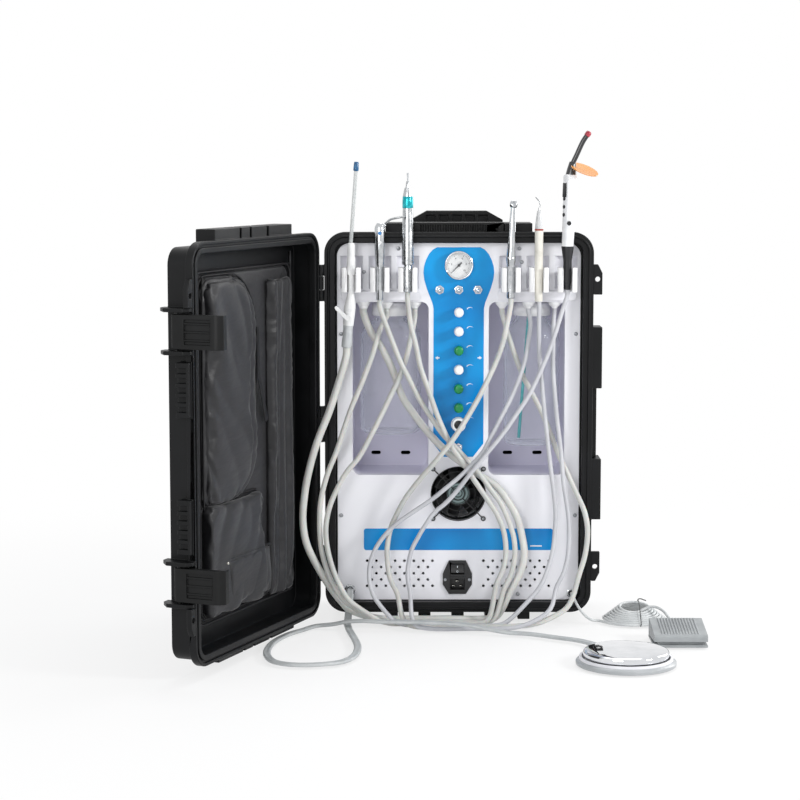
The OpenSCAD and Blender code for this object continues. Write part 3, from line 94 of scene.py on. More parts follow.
def finish(name, dark, light, rough, blotch, grit, depth, metallic=0.0, **constants):
    """A moulded, painted or polished finish. Colour and gloss drift over blotch mm, between dark and
    light and between the two roughnesses, and a grain of grit mm stands depth mm proud."""
    made, tree, shader, place = surface(name, rough[0], metallic, **constants)
    drift = add(tree, "ShaderNodeTexNoise", {}, {
        "Vector": place, "Scale": 1000 / blotch, "Detail": 4.0, "Roughness": 0.6})
    tone = add(tree, "ShaderNodeMapRange", {}, {
        "Value": drift.outputs["Fac"], "From Min": 0.32, "From Max": 0.68})
    mix = add(tree, "ShaderNodeMix", {"data_type": "RGBA"}, {
        "Factor": tone.outputs["Result"], "A": linear(dark), "B": linear(light)})
    tree.links.new(mix.outputs["Result"], shader.inputs["Base Color"])
    gloss = add(tree, "ShaderNodeMapRange", {}, {
        "Value": drift.outputs["Fac"], "From Min": 0.3, "From Max": 0.7,
        "To Min": rough[0], "To Max": rough[1]})
    tree.links.new(gloss.outputs["Result"], shader.inputs["Roughness"])
    grain = add(tree, "ShaderNodeTexNoise", {}, {
        "Vector": place, "Scale": 1000 / grit, "Detail": 2.0})
    bump = add(tree, "ShaderNodeBump", {}, {
        "Height": grain.outputs["Fac"], "Distance": depth * MM, "Strength": 1.0})
    tree.links.new(bump.outputs["Normal"], shader.inputs["Normal"])
    return made


def spline_through(route, steps):
    """Points of a smooth line through a route in mm, in metres."""
    points = [Vector(p) * MM for p in route]
    points = [2 * points[0] - points[1], *points, 2 * points[-1] - points[-2]]
    line = []
    for a, b, c, d in zip(points, points[1:], points[2:], points[3:]):
        for k in range(steps):
            t = k / steps
            line.append(0.5 * (2 * b + (c - a) * t + (2 * a - 5 * b + 4 * c - d) * t ** 2
                               + (3 * b - a - 3 * c + d) * t ** 3))
    return line + [points[-2]]


def round_tube(name, line, radius):
    """A round tube on a line of points, as a curve of one open spline."""
    data = bpy.data.curves.new(name, "CURVE")
    data.dimensions = "3D"
    data.bevel_depth = radius * MM
    data.bevel_resolution = 7
    data.use_fill_caps = True
    spline = data.splines.new("POLY")
    spline.points.add(len(line) - 1)
    for point, place in zip(spline.points, line):
        point.co = (*place, 1)
    spline.use_smooth = True
    made = bpy.data.objects.new(name, data)
    bpy.context.scene.collection.objects.link(made)
    return made


# Extruded silicone: even pale grey with faint clouds of handling dirt and a soft gloss.
silicone = finish("silicone_tube", "#c3c4c0", "#d5d5d0", (0.36, 0.46), 45, 1.1, 0.012,
                  Subsurface_Weight=0.12, Subsurface_Scale=0.002)
# The suction hose is a lighter, thicker vinyl.
vinyl = finish("vinyl_hose", "#c7c8c4", "#dadad5", (0.32, 0.42), 60, 1.4, 0.015,
               Subsurface_Weight=0.12, Subsurface_Scale=0.002)
# The two electric leads have a firmer, bluish jacket.
jacket = finish("cable_jacket", "#bebfc4", "#cecfd3", (0.38, 0.48), 45, 0.9, 0.01)

# Name, radius, declared length in metres, material, slot, and the route in mm.
HOSES = [
    ("suction_hose", 6, 1.32, vinyl, "hose_grey", [
        (-155, -68, 516), (-155, -68, 508), (-150, -74, 493), (-141, -82, 474), (-126, -85, 453),
        (-109, -87, 419), (-92, -89, 373), (-75, -90, 347), (-58, -90, 324), (-42, -91, 305),
        (-22, -91, 285), (4, -92, 265), (35, -94, 244), (63, -96, 225), (83, -98, 198),
        (96, -100, 174), (104, -101, 144), (108, -102, 113), (101, -103, 83), (86, -105, 55),
        (66, -106, 15), (45, -106, 7), (-20, -106, 7), (-85, -107, 7), (-130, -112, 9),
        (-174, -116, 23), (-192, -119, 40), (-213, -122, 69), (-234, -126, 106), (-248, -128, 139),
        (-253, -130, 174), (-251, -130, 209), (-244, -128, 251), (-230, -127, 301),
        (-209, -122, 354), (-196, -114, 394), (-186, -110, 426), (-182, -108, 444),
        (-182, -108, 454)]),
    ("syringe_hose", 4.3, 1.36, silicone, "hose_grey", [
        (-128, -108, 531), (-128, -108, 520), (-123, -108, 504), (-110, -108, 470),
        (-96, -108, 434), (-80, -108, 402), (-62, -108, 367), (-44, -107, 339), (-26, -106, 313),
        (-6, -106, 292), (14, -106, 270), (34, -107, 248), (54, -108, 220), (69, -109, 199),
        (81, -110, 172), (90, -111, 144), (92, -112, 114), (86, -114, 84), (74, -117, 58),
        (60, -120, 14), (40, -120, 5), (-20, -120, 5), (-90, -121, 5), (-136, -126, 12),
        (-180, -133, 38), (-199, -133, 61), (-213, -130, 90), (-223, -127, 126), (-226, -127, 166),
        (-224, -125, 206), (-214, -120, 247), (-198, -112, 287), (-177, -104, 349),
        (-158, -103, 395), (-141, -102, 440), (-133, -100, 466), (-126, -90, 486),
        (-117, -72, 503), (-117, -68, 511), (-117, -68, 516)]),
    ("motor_hose", 4.3, 1.34, silicone, "hose_grey", [
        (-83, -108, 544), (-83, -108, 532), (-78, -110, 491), (-70, -112, 459), (-62, -114, 422),
        (-50, -116, 388), (-37, -117, 350), (-24, -117, 319), (-11, -117, 293), (7, -117, 267),
        (25, -117, 239), (44, -117, 211), (61, -117, 185), (73, -118, 156), (77, -119, 124),
        (73, -121, 95), (61, -125, 66), (50, -130, 15), (28, -131, 5), (-20, -131, 5),
        (-88, -132, 5), (-112, -133, 6), (-134, -137, 14), (-175, -143, 43), (-191, -141, 66),
        (-204, -137, 95), (-213, -132, 128), (-216, -129, 159), (-212, -125, 188),
        (-201, -121, 218), (-182, -114, 252), (-161, -106, 277), (-133, -100, 329),
        (-108, -100, 381), (-96, -101, 406), (-84, -95, 441), (-78, -88, 468), (-72, -76, 496),
        (-71, -68, 510), (-71, -68, 516)]),
    ("turbine_hose", 4.3, 1.39, silicone, "hose_grey", [
        (83, -108, 534), (83, -108, 522), (77, -110, 491), (69, -112, 457), (55, -114, 421),
        (38, -117, 386), (18, -121, 350), (-1, -127, 320), (-18, -127, 296), (-40, -122, 268),
        (-64, -116, 239), (-86, -110, 209), (-100, -107, 183), (-111, -106, 157),
        (-116, -107, 129), (-116, -110, 103), (-111, -116, 75), (-99, -131, 52), (-90, -149, 16),
        (-66, -156, 5), (0, -156, 5), (70, -154, 5), (118, -148, 7), (152, -142, 18),
        (180, -136, 38), (196, -128, 86), (206, -122, 118), (210, -117, 155), (205, -113, 186),
        (193, -103, 214), (177, -95, 249), (163, -92, 278), (153, -90, 304), (138, -89, 342),
        (128, -88, 362), (116, -88, 385), (104, -88, 407), (92, -87, 439), (80, -84, 474),
        (73, -74, 500), (71, -68, 510), (71, -68, 516)]),
    ("scaler_hose", 3.6, 1.36, jacket, "cable_grey", [
        (129, -108, 529), (129, -108, 516), (129, -108, 488), (130, -108, 441), (135, -107, 390),
        (140, -105, 340), (145, -105, 298), (150, -107, 256), (155, -109, 216), (158, -111, 186),
        (157, -113, 155), (154, -116, 125), (146, -120, 95), (134, -127, 68), (114, -137, 45),
        (80, -143, 12), (55, -144, 4.5), (0, -144, 4.5), (-70, -144, 4.5), (-103, -142, 11),
        (-132, -133, 41), (-142, -127, 60), (-146, -121, 83), (-143, -117, 107), (-133, -115, 130),
        (-117, -117, 152), (-97, -119, 171), (-70, -120, 190), (-44, -122, 208), (-23, -127, 226),
        (3, -128, 248), (24, -127, 269), (39, -127, 287), (50, -126, 308), (68, -120, 342),
        (85, -114, 375), (99, -108, 408), (108, -101, 437), (113, -92, 464), (117, -78, 490),
        (114, -68, 509), (114, -68, 516)]),
    ("light_cable", 3.6, 1.36, jacket, "cable_grey", [
        (174, -108, 548), (174, -108, 538), (167, -111, 517), (156, -116, 482), (145, -119, 450),
        (130, -123, 415), (114, -126, 382), (92, -130, 348), (71, -134, 318), (49, -137, 291),
        (18, -134, 252), (-5, -128, 221), (-22, -124, 202), (-40, -121, 186), (-54, -119, 166),
        (-66, -117, 145), (-76, -116, 125), (-82, -119, 100), (-83, -126, 78), (-79, -138, 57),
        (-74, -162, 15), (-48, -167, 4.5), (20, -167, 4.5), (82, -164, 4.5), (118, -157, 13),
        (148, -146, 32), (159, -126, 63), (171, -121, 87), (178, -118, 115), (180, -115, 152),
        (178, -112, 186), (171, -109, 230), (168, -106, 267), (165, -101, 298), (160, -97, 339),
        (156, -96, 381), (153, -94, 423), (154, -86, 465), (155, -75, 496), (157, -68, 509),
        (157, -68, 516)]),
]
for name, radius, length, stuff, slot_name, route in HOSES:
    tube = round_tube(name + "_tube", spline_through(route, 5), radius)
    tube.data.materials.append(stuff)
    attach(tube, "base")
    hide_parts(name)

# ---- Air hose of the round pedal ----
# Two thin vinyl tubes extruded side by side, 12 mm over both. They leave a grommet at the panel's
# lower left, lie on the floor in one wide loop and go under the pedal's rim.

PEDAL_ROUTE = [
    (-178, -81.5, 50), (-178, -89, 50), (-178, -99, 42), (-179, -103, 30), (-180, -107, 17),
    (-181, -116, 7), (-181, -132, 3.5), (-176, -180, 3.5), (-166, -245, 3.5), (-161, -300, 3.5),
    (-166, -354, 3.5), (-182, -390, 3.5), (-208, -406, 3.5), (-240, -412, 3.5), (-268, -406, 3.5),
    (-288, -387, 3.5), (-299, -347, 3.5), (-300, -300, 3.5), (-292, -252, 3.5), (-274, -205, 3.5),
    (-250, -169, 3.5), (-232, -145, 4), (-204, -150, 8), (-181, -158, 14), (-155, -166, 17),
    (-125, -172, 17), (-76, -175, 17), (-31, -177, 16), (9, -181, 14), (42, -187, 9),
    (76, -193, 4), (112, -202, 3.5), (152, -227, 3.5), (184, -247, 3.5), (204, -274, 4.5),
    (213, -300, 6), (217, -312, 6)
]


def twin_tube(name, line, half_w, half_t):
    """A mesh tube whose section is two round lobes joined by a web, laid flat on the line."""
    section = []
    for k in range(20):
        a = 2 * math.pi * (k + 0.5) / 20
        waist = 1 - 0.42 * math.exp(-(math.cos(a) / 0.28) ** 2)
        section.append((half_w * math.copysign(abs(math.cos(a)) ** 0.75, math.cos(a)),
                        half_t * math.copysign(abs(math.sin(a)) ** 0.8, math.sin(a)) * waist))
    side = Vector((1, 0, 0))
    verts, faces = [], []
    for i, place in enumerate(line):
        ahead = (line[min(i + 1, len(line) - 1)] - line[max(i - 1, 0)]).normalized()
        side = (side - side.dot(ahead) * ahead).normalized()
        up = ahead.cross(side)
        verts += [place + (u * side + v * up) * MM for u, v in section]
    n = len(section)
    for i in range(len(line) - 1):
        faces += [(i * n + k, i * n + (k + 1) % n, (i + 1) * n + (k + 1) % n, (i + 1) * n + k)
                  for k in range(n)]
    faces += [tuple(reversed(range(n))), tuple(range(len(verts) - n, len(verts)))]
    mesh = bpy.data.meshes.new(name)
    mesh.from_pydata(verts, [], faces)
    made = bpy.data.objects.new(name, mesh)
    bpy.context.scene.collection.objects.link(made)
    select_only(made)
    bpy.ops.object.mode_set(mode="EDIT")
    bpy.ops.mesh.select_all(action="SELECT")
    bpy.ops.mesh.normals_make_consistent(inside=False)
    bpy.ops.object.mode_set(mode="OBJECT")
    bpy.ops.object.shade_smooth_by_angle(angle=math.radians(60))
    return made


def select_only(*objects):
    """Deselects everything, then selects these and makes the first one active."""
    bpy.ops.object.select_all(action="DESELECT")
    for one in objects:
        one.select_set(True)
    bpy.context.view_layer.objects.active = objects[0]


# Twin vinyl: the same pale grey, its tone drifting at random over some 35 mm.
twin_vinyl = finish("twin_vinyl", "#b2b6b7", "#c8cbcb", (0.36, 0.5), 35, 1.0, 0.012)
pedal_line = spline_through(PEDAL_ROUTE, 5)
pedal_tube = twin_tube("round_pedal_tube", pedal_line, 6.0, 3.0)
pedal_tube.data.materials.append(twin_vinyl)
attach(pedal_tube, "base")
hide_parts("round_pedal_hose")

# ---- Cable of the switch pedal ----
# A thin round vinyl lead. Most of its 1.8 m is folded into a flat hank of seven turns that a black
# wire tie holds, and its end runs into the pedal's gland.

SWITCH_ROUTE = [
    (187, -83, 45), (187, -90, 45), (190, -98, 40), (197, -103, 27), (208, -104, 13),
    (220, -100, 4), (229, -97, 2.6), (237, -103.5, 2.6)
]
HANK_AT = (290, -88)
HANK_HALF = (38, 30)
HANK_STEP = 5.3
HANK_FROM = 215
HANK_ALL = 7.2
CABLE_R = 2.3


def hank_point(u):
    """The point of the hank after u turns, as the part's source winds it."""
    lean = math.radians(33.5 + 11.5 * math.sin(math.radians(HANK_FROM + 360 * u)))
    out = (HANK_ALL / 2 - u) * HANK_STEP * math.cos(lean)
    a = math.radians(HANK_FROM + 360 * u)
    return (HANK_AT[0] + (HANK_HALF[0] + out) * math.cos(a),
            HANK_AT[1] + (HANK_HALF[1] + out) * math.sin(a),
            CABLE_R + 0.3 + u * HANK_STEP * math.sin(lean))


hank_steps = round(24 * HANK_ALL)
hank_line = [Vector(hank_point(HANK_ALL * i / hank_steps)) * MM for i in range(hank_steps + 1)]
lead_in = spline_through(SWITCH_ROUTE + [hank_point(0)], 3)
tail = spline_through([
    hank_point(HANK_ALL), (302, -98.6, 19.8), (308, -98.5, 23.2), (316, -100, 26),
    (326, -106, 26.5), (335, -120, 23), (340, -146, 18.5), (341, -176, 18), (341, -198, 18)], 3)
switch_line = lead_in[:-1] + hank_line + tail[1:]
switch_cable = round_tube("switch_cable", switch_line, CABLE_R)
# Vinyl flex: pale grey, slightly waxy.
flex = finish("vinyl_flex", "#bfc3c4", "#d4d6d6", (0.34, 0.44), 30, 0.8, 0.01)
switch_cable.data.materials.append(flex)
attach(switch_cable, "base")
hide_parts("box_pedal_cable", "cable_hank")
# ---- Case: base, lid and gasket ----
# Injection-moulded polypropylene shells, black, with a fine spark-eroded grain. The rims have a
# tongue and a groove with a foam rubber gasket; every corner and edge of the moulding is rounded.


def dress(name, stuff, edge=0.0):
    """Gives a CAD node its finish. Its loose triangles are merged and its edges rounded by edge mm
    with live modifiers, so the node's own mesh stays as it is."""
    node = nodes[name]
    node.data.materials.clear()
    node.data.materials.append(stuff)
    for polygon in node.data.polygons:
        polygon.material_index = 0
        polygon.use_smooth = True
    weld = node.modifiers.new("merge", "WELD")
    weld.merge_threshold = 0.004 * MM
    if edge:
        flat = node.modifiers.new("flat_faces", "DECIMATE")
        flat.decimate_type = "DISSOLVE"
        flat.angle_limit = math.radians(1.0)
        rounding = node.modifiers.new("rounded_edges", "BEVEL")
        rounding.width = edge * MM
        rounding.segments = 2
        rounding.limit_method = "ANGLE"
        rounding.angle_limit = math.radians(32)
        rounding.use_clamp_overlap = False
        rounding.harden_normals = False
    normals = node.modifiers.new("face_normals", "WEIGHTED_NORMAL")
    normals.weight = 60
    return node


# Moulded polypropylene: near black, satin, with a grain of about 1 mm that breaks up highlights.
case_plastic = finish("moulded_polypropylene", "#090a0b", "#101113", (0.36, 0.5), 70, 1.1, 0.035,
                      Specular_IOR_Level=0.22)
# Glass-filled nylon of the handles and latches: blacker and a little smoother.
nylon = finish("moulded_nylon", "#070808", "#0f1011", (0.33, 0.44), 40, 0.9, 0.02, Specular_IOR_Level=0.25)
# Foam rubber: dull dark grey.
foam_rubber = finish("foam_rubber", "#1d1e20", "#2a2b2d", (0.7, 0.85), 12, 0.8, 0.05)
dress("base_shell", case_plastic, 1.2)
dress("lid_shell", case_plastic, 1.2)
dress("lid_gasket", foam_rubber)
for name in ("latch_upper", "latch_lower", "top_handle", "side_handle", "trolley_handle"):
    dress(name, nylon, 0.8)

# ---- Hinge pins, axles, wheels ----
# Ground steel pins pressed into the moulding, and hard rubber wheels that run on them.

# Ground steel: bright grey with fine turning marks.
pin_steel = finish("ground_steel", "#9b9ea2", "#b5b8bb", (0.24, 0.36), 6, 0.5, 0.004, 1.0)
wheel_rubber = finish("wheel_rubber", "#141516", "#202123", (0.6, 0.78), 14, 1.2, 0.05)
dress("case_pins", pin_steel)
for name in ("wheel_left", "wheel_right"):
    dress(name, wheel_rubber, 0.8)

# ---- Front panel ----
# Vacuum-formed white ABS sheet, 3 mm thick, with two deep bottle bays, a shelf with flutes over them,
# and drilled air vents. Deeper in the bays the colour turns a darker lavender: partly the sheet's tint,
# partly painted shade of the recess.

panel, tree, shader, place = surface("formed_abs", 0.3, Coat_Weight=0.15, Coat_Roughness=0.15)
depth = add(tree, "ShaderNodeSeparateXYZ", {}, {"Vector": place})
# The darker lavender, partly tint and partly painted shade, starts at the panel's face, 80 mm in front
# of the middle, and is full 40 mm behind it.
bay_depth_tint_and_shade = add(tree, "ShaderNodeMapRange", {}, {
    "Value": depth.outputs["Y"], "From Min": -0.0805, "From Max": -0.040})
clouds = add(tree, "ShaderNodeTexNoise", {}, {"Vector": place, "Scale": 9.0, "Detail": 3.0})
face_tone = add(tree, "ShaderNodeMix", {"data_type": "RGBA"}, {
    "Factor": clouds.outputs["Fac"], "A": linear("#ececf2"), "B": linear("#f5f5f8")})
# The bays' colour: the sheet's lavender tint, darkened further by painted shade of the deep recess.
bay_tint_and_painted_shade = add(tree, "ShaderNodeMix", {"data_type": "RGBA"}, {
    "Factor": clouds.outputs["Fac"], "A": linear("#d8d6e8"), "B": linear("#e6e4f1")})
face_to_bay_tint_and_shade = add(tree, "ShaderNodeMix", {"data_type": "RGBA"}, {
    "Factor": bay_depth_tint_and_shade.outputs["Result"], "A": face_tone.outputs["Result"],
    "B": bay_tint_and_painted_shade.outputs["Result"]})
tree.links.new(face_to_bay_tint_and_shade.outputs["Result"], shader.inputs["Base Color"])
peel = add(tree, "ShaderNodeTexNoise", {}, {"Vector": place, "Scale": 260.0, "Detail": 1.0})
bump = add(tree, "ShaderNodeBump", {}, {
    "Height": peel.outputs["Fac"], "Distance": 0.00002, "Strength": 1.0})
tree.links.new(bump.outputs["Normal"], shader.inputs["Normal"])
dress("front_panel", panel, 0.5)

# ---- Instrument clips ----
# Six glossy white ABS clips, each an open seat between two tapered jaws, screwed on through the shelf.

clip_plastic = finish("glossy_abs", "#f0f0f1", "#f8f8f8", (0.22, 0.32), 25, 1.5, 0.006,
                      Coat_Weight=0.3, Coat_Roughness=0.1)
dress("instrument_clips", clip_plastic, 0.9)

# ---- Control overlay and lower stripe ----
# Two printed polycarbonate films stuck on the panel: the tall blue one with a round head behind the
# gauge and the controls, and a blue stripe. Both are left without lettering.

FACE = -80.0
MIDDLE = 328.0


def film(name, outline, rise, thick=0.3):
    """A thin film with this outline in X and height, laid on the panel's face."""
    select_only(floorless())
    bpy.ops.mesh.primitive_circle_add(vertices=len(outline), radius=0.05, fill_type="NGON",
                                      rotation=(math.radians(90), 0, 0))
    made = bpy.context.object
    made.name = name
    bpy.ops.object.transform_apply(location=True, rotation=True, scale=True)
    for vertex, (x, z) in zip(made.data.vertices, outline):
        vertex.co = Vector((x, FACE - rise, z)) * MM
    bpy.ops.object.mode_set(mode="EDIT")
    bpy.ops.mesh.select_all(action="SELECT")
    bpy.ops.mesh.extrude_region_move(TRANSFORM_OT_translate={"value": (0, -thick * MM, 0)})
    bpy.ops.mesh.inset(thickness=0.15 * MM, depth=0.05 * MM)
    bpy.ops.mesh.select_all(action="SELECT")
    bpy.ops.mesh.normals_make_consistent(inside=False)
    bpy.ops.object.mode_set(mode="OBJECT")
    return made


def floorless():
    """Something that can be the active object before a primitive is added."""
    return camera


def arc(cx, cz, r, start, end, count):
    """Points of an arc, from start to end degrees, 0 to the right and 90 up."""
    steps = [math.radians(start + (end - start) * k / (count - 1)) for k in range(count)]
    return [(cx + r * math.cos(a), cz + r * math.sin(a)) for a in steps]


def settle(piece, body, stuff, slot_name, *replaced):
    """Gives a finished piece its finish and its body, and hides the CAD nodes that it stands for; slot_name is not
    used.
    """
    if stuff is not None:
        piece.data.materials.clear()
        piece.data.materials.append(stuff)
    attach(piece, body)
    if replaced:
        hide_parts(*replaced)
    return piece


# Printed polycarbonate: strong blue under a smooth clear face; the print is a little uneven.
blue_film, tree, shader, place = surface("printed_polycarbonate", 0.24, Specular_IOR_Level=0.3, Coat_Weight=0.08,
                                         Coat_Roughness=0.12)
broad = add(tree, "ShaderNodeTexNoise", {}, {"Vector": place, "Scale": 8.0, "Detail": 2.0})
spread = add(tree, "ShaderNodeMapRange", {}, {
    "Value": broad.outputs["Fac"], "From Min": 0.35, "From Max": 0.65})
print_tone = add(tree, "ShaderNodeMix", {"data_type": "RGBA"}, {
    "Factor": spread.outputs["Result"], "A": linear("#007cc4"), "B": linear("#039ee4")})
tree.links.new(print_tone.outputs["Result"], shader.inputs["Base Color"])
ripple = add(tree, "ShaderNodeTexNoise", {}, {"Vector": place, "Scale": 60.0})
bump = add(tree, "ShaderNodeBump", {}, {
    "Height": ripple.outputs["Fac"], "Distance": 0.00008, "Strength": 1.0})
tree.links.new(bump.outputs["Normal"], shader.inputs["Normal"])
HEAD = [(41, -34), (41, 188), (43, 197), (47, 207), (52, 220), (56, 234), (57.5, 246), (56.5, 256),
        (53.5, 266), (48.5, 276), (42, 283.5), (35, 287)]
outline = [(x, MIDDLE + z) for x, z in HEAD + [(-x, z) for x, z in reversed(HEAD)]]
outline += [(-24, MIDDLE - 56), (24, MIDDLE - 56)]
overlay = film("control_overlay", outline, 0.02)
settle(overlay, "base", blue_film, "panel_white")
corners = (arc(152, MIDDLE - 179, 4, 0, 90, 6) + arc(-151, MIDDLE - 179, 4, 90, 180, 6)
           + arc(-151, MIDDLE - 207, 4, 180, 270, 6) + arc(152, MIDDLE - 207, 4, 270, 360, 6))
stripe = film("lower_stripe", corners, 0.02)
settle(stripe, "base", blue_film, "panel_white")

# Screen-printed white: the adjusting arcs by the knobs, two small arrows and a plain bar.
white_ink = finish("white_ink", "#dfe9f0", "#f4f8fb", (0.35, 0.45), 10, 0.6, 0.002)
marks = []
for k in range(7):
    z = 510 - 31.2 * k if k < 6 else 328.0
    width = 6.4 if k < 6 else 8.5
    crescent = arc(18.5, z + 1.5, width, 150, 50, 10)
    crescent += [(x, y + 0.2) for x, y in arc(18.5 + 0.9, z + 0.4, width, 50, 150, 10)]
    marks.append(film("arc", crescent, 0.36, 0.08))
for side in (-1, 1):
    marks.append(film("arrow", [(side * 38, 435), (side * 34, 438), (side * 34, 436), (side * 31, 436),
                                (side * 31, 434), (side * 34, 434), (side * 34, 432)], 0.36, 0.08))
marks.append(film("bar", [(119, 123), (138, 123), (138, 125), (119, 125)], 0.36, 0.08))
select_only(*marks)
bpy.ops.object.join()
printed = bpy.context.object
printed.name = "printed_marks"
settle(printed, "base", white_ink, "panel_white")

# ---- Turned pieces: gauge, knobs, bushes, caps ----
# The lathe-turned and moulded round pieces are pulled up from a disc, ring by ring.


def turned(name, steps, place, axis=(0, 0, 1), sides=48, bevel=0.0, angle=32, spin=0.0):
    """A round piece: a disc at the first step's height and radius is pulled up through the others.
    The heights run along axis from place; heights, radii and bevel are in mm."""
    select_only(camera)
    height, radius = steps[0]
    bpy.ops.mesh.primitive_circle_add(vertices=sides, radius=radius * MM, fill_type="NGON",
                                      location=(0, 0, height * MM), rotation=(0, 0, spin))
    made = bpy.context.object
    made.name = name
    bpy.ops.object.transform_apply(location=True, rotation=True, scale=True)
    bpy.ops.object.mode_set(mode="EDIT")
    bpy.ops.mesh.select_all(action="SELECT")
    for next_height, next_radius in steps[1:]:
        bpy.ops.mesh.extrude_region_move(
            TRANSFORM_OT_translate={"value": (0, 0, (next_height - height) * MM)})
        share = next_radius / radius
        bpy.ops.transform.resize(value=(share, share, 1))
        height, radius = next_height, next_radius
    bpy.ops.mesh.select_all(action="SELECT")
    bpy.ops.mesh.normals_make_consistent(inside=False)
    bpy.ops.object.mode_set(mode="OBJECT")
    turn = Vector((0, 0, 1)).rotation_difference(Vector(axis)).to_matrix().to_4x4()
    made.data.transform(Matrix.Translation(Vector(place) * MM) @ turn)
    if bevel:
        rounded(made, bevel)
    bpy.ops.object.shade_smooth_by_angle(angle=math.radians(angle))
    return made


def rounded(piece, width, segments=2, angle=35):
    """Rounds a piece's sharp edges by width mm."""
    select_only(piece)
    bevel = piece.modifiers.new("rounding", "BEVEL")
    bevel.width = width * MM
    bevel.segments = segments
    bevel.limit_method = "ANGLE"
    bevel.angle_limit = math.radians(angle)
    bpy.ops.object.modifier_apply(modifier=bevel.name)
    return piece


def joined(name, pieces):
    """Joins pieces into one object with this name."""
    select_only(*pieces)
    if len(pieces) > 1:
        bpy.ops.object.join()
    made = bpy.context.object
    made.name = name
    return made


def block(name, low, high, edge=0.0, angle=30):
    """A block between two corners in mm, with its edges rounded by edge mm."""
    select_only(camera)
    low, high = Vector(low), Vector(high)
    bpy.ops.mesh.primitive_cube_add(size=1, location=(low + high) / 2 * MM, scale=(high - low) * MM)
    made = bpy.context.object
    made.name = name
    bpy.ops.object.transform_apply(location=True, rotation=True, scale=True)
    if edge:
        rounded(made, edge)
    bpy.ops.object.shade_smooth_by_angle(angle=math.radians(angle))
    return made


FRONT = (0, -1, 0)
GAUGE_Z = 586.0
# Chromed brass: bright and smooth, with the faint waves of a plated bezel.
chrome = finish("chromed_brass", "#c9cbce", "#dfe1e3", (0.07, 0.14), 18, 2.5, 0.004, 1.0)
dial_white = finish("dial_paint", "#eceeee", "#f6f6f5", (0.4, 0.5), 20, 0.8, 0.003)
black_paint = finish("black_paint", "#121314", "#1b1c1e", (0.35, 0.5), 8, 0.6, 0.004)
red_paint = finish("red_paint", "#b3241e", "#c23a34", (0.35, 0.5), 8, 0.6, 0.004)
bezel = turned("gauge_bezel", [
    (-26, 20), (0, 20.2), (0, 23.5), (9.6, 23.5), (11.2, 22.9), (12, 21.8), (11.6, 20.7),
    (9.4, 20.2), (2.8, 20.2)], (0, FACE, GAUGE_Z), FRONT, 72, 0.25)
stem = turned("gauge_stem", [(-40, 4.6), (-37, 5), (-20, 5)], (0, FACE, GAUGE_Z), FRONT, 6, 0.3)
settle(joined("gauge_bezel", [bezel, stem]), "base", chrome, "chrome", "gauge_case")
dial = turned("gauge_dial", [(3.6, 20.3), (4.9, 20.3), (5.0, 20.0)], (0, FACE, GAUGE_Z), FRONT, 72)
settle(dial, "base", dial_white, "white_plastic")
ticks = []
for k in range(51):
    # The scale runs over 270 degrees from the lower left.
    a = math.radians(225 - 270 * k / 50)
    long = 3.4 if k % 10 == 0 else 2.4 if k % 5 == 0 else 1.4
    tick = block("tick", (18.6 - long, -0.02, -0.16 if k % 10 else -0.3),
                 (18.6, 0.1, 0.16 if k % 10 else 0.3), 0.03)
    tick.data.transform(Matrix.Translation(Vector((0, FACE - 5.05, GAUGE_Z)) * MM)
                        @ Matrix.Rotation(-a, 4, "Y"))
    ticks.append(tick)
for k in range(6):
    a = math.radians(225 - 54 * k)
    bpy.ops.object.text_add(location=((math.cos(a) * 12.0) * MM, (FACE - 5.05) * MM,
                                      (GAUGE_Z + math.sin(a) * 12.0) * MM),
                            rotation=(math.radians(90), 0, 0))
    number = bpy.context.object
    number.data.body = str(2 * k)
    number.data.size = 4.6 * MM
    number.data.align_x, number.data.align_y = "CENTER", "CENTER"
    number.data.extrude = 0.05 * MM
    bpy.ops.object.convert(target="MESH")
    bpy.ops.object.transform_apply(location=True, rotation=True, scale=True)
    ticks.append(bpy.context.object)
settle(joined("gauge_scale", ticks), "base", black_paint, "needle_black")

# The pointer is stamped, painted black and turns with its hub.
pointer = block("pointer", (-0.75, -0.35, -6.5), (0.75, 0.35, 15.5), 0)
bpy.ops.object.mode_set(mode="EDIT")
bpy.ops.mesh.select_all(action="SELECT")
bpy.ops.mesh.subdivide(number_cuts=3)
bpy.ops.object.mode_set(mode="OBJECT")
for vertex in pointer.data.vertices:
    vertex.co.x *= 1.5 if vertex.co.z < 0 else 1.2 - vertex.co.z / (20 * MM)
pointer.data.transform(Matrix.Translation(Vector((0, FACE - 7, GAUGE_Z)) * MM)
                       @ Matrix.Rotation(math.radians(225), 4, "Y"))
rounded(pointer, 0.12)
hub = turned("pointer_hub", [(5.5, 0.75), (6.2, 0.8), (6.2, 2.3), (7.6, 2.3), (8.0, 1.7)],
             (0, FACE, GAUGE_Z), FRONT, 24)
settle(joined("gauge_pointer", [pointer, hub]), "gauge_needle", black_paint, "needle_black",
       "gauge_needle")



def see_through(name, deep, pale, roughness, least, most):
    """A clear plastic that shows more of itself towards its edges, where the view runs along the wall."""
    made, tree, shader, place = surface(name, roughness, ior=1.5)
    swell = add(tree, "ShaderNodeTexNoise", {}, {"Vector": place, "Scale": 22.0, "Detail": 2.0})
    bump = add(tree, "ShaderNodeBump", {}, {
        "Height": swell.outputs["Fac"], "Distance": 0.003, "Strength": 0.5})
    tree.links.new(bump.outputs["Normal"], shader.inputs["Normal"])
    facing = add(tree, "ShaderNodeLayerWeight", {}, {"Blend": 0.35})
    wall = add(tree, "ShaderNodeMapRange", {}, {
        "Value": facing.outputs["Facing"], "From Min": 0.1, "From Max": 0.95, "To Min": least,
        "To Max": most})
    tree.links.new(wall.outputs["Result"], shader.inputs["Alpha"])
    cloud = add(tree, "ShaderNodeMix", {"data_type": "RGBA"}, {
        "Factor": swell.outputs["Fac"], "A": linear(deep), "B": linear(pale)})
    tree.links.new(cloud.outputs["Result"], shader.inputs["Base Color"])
    return made


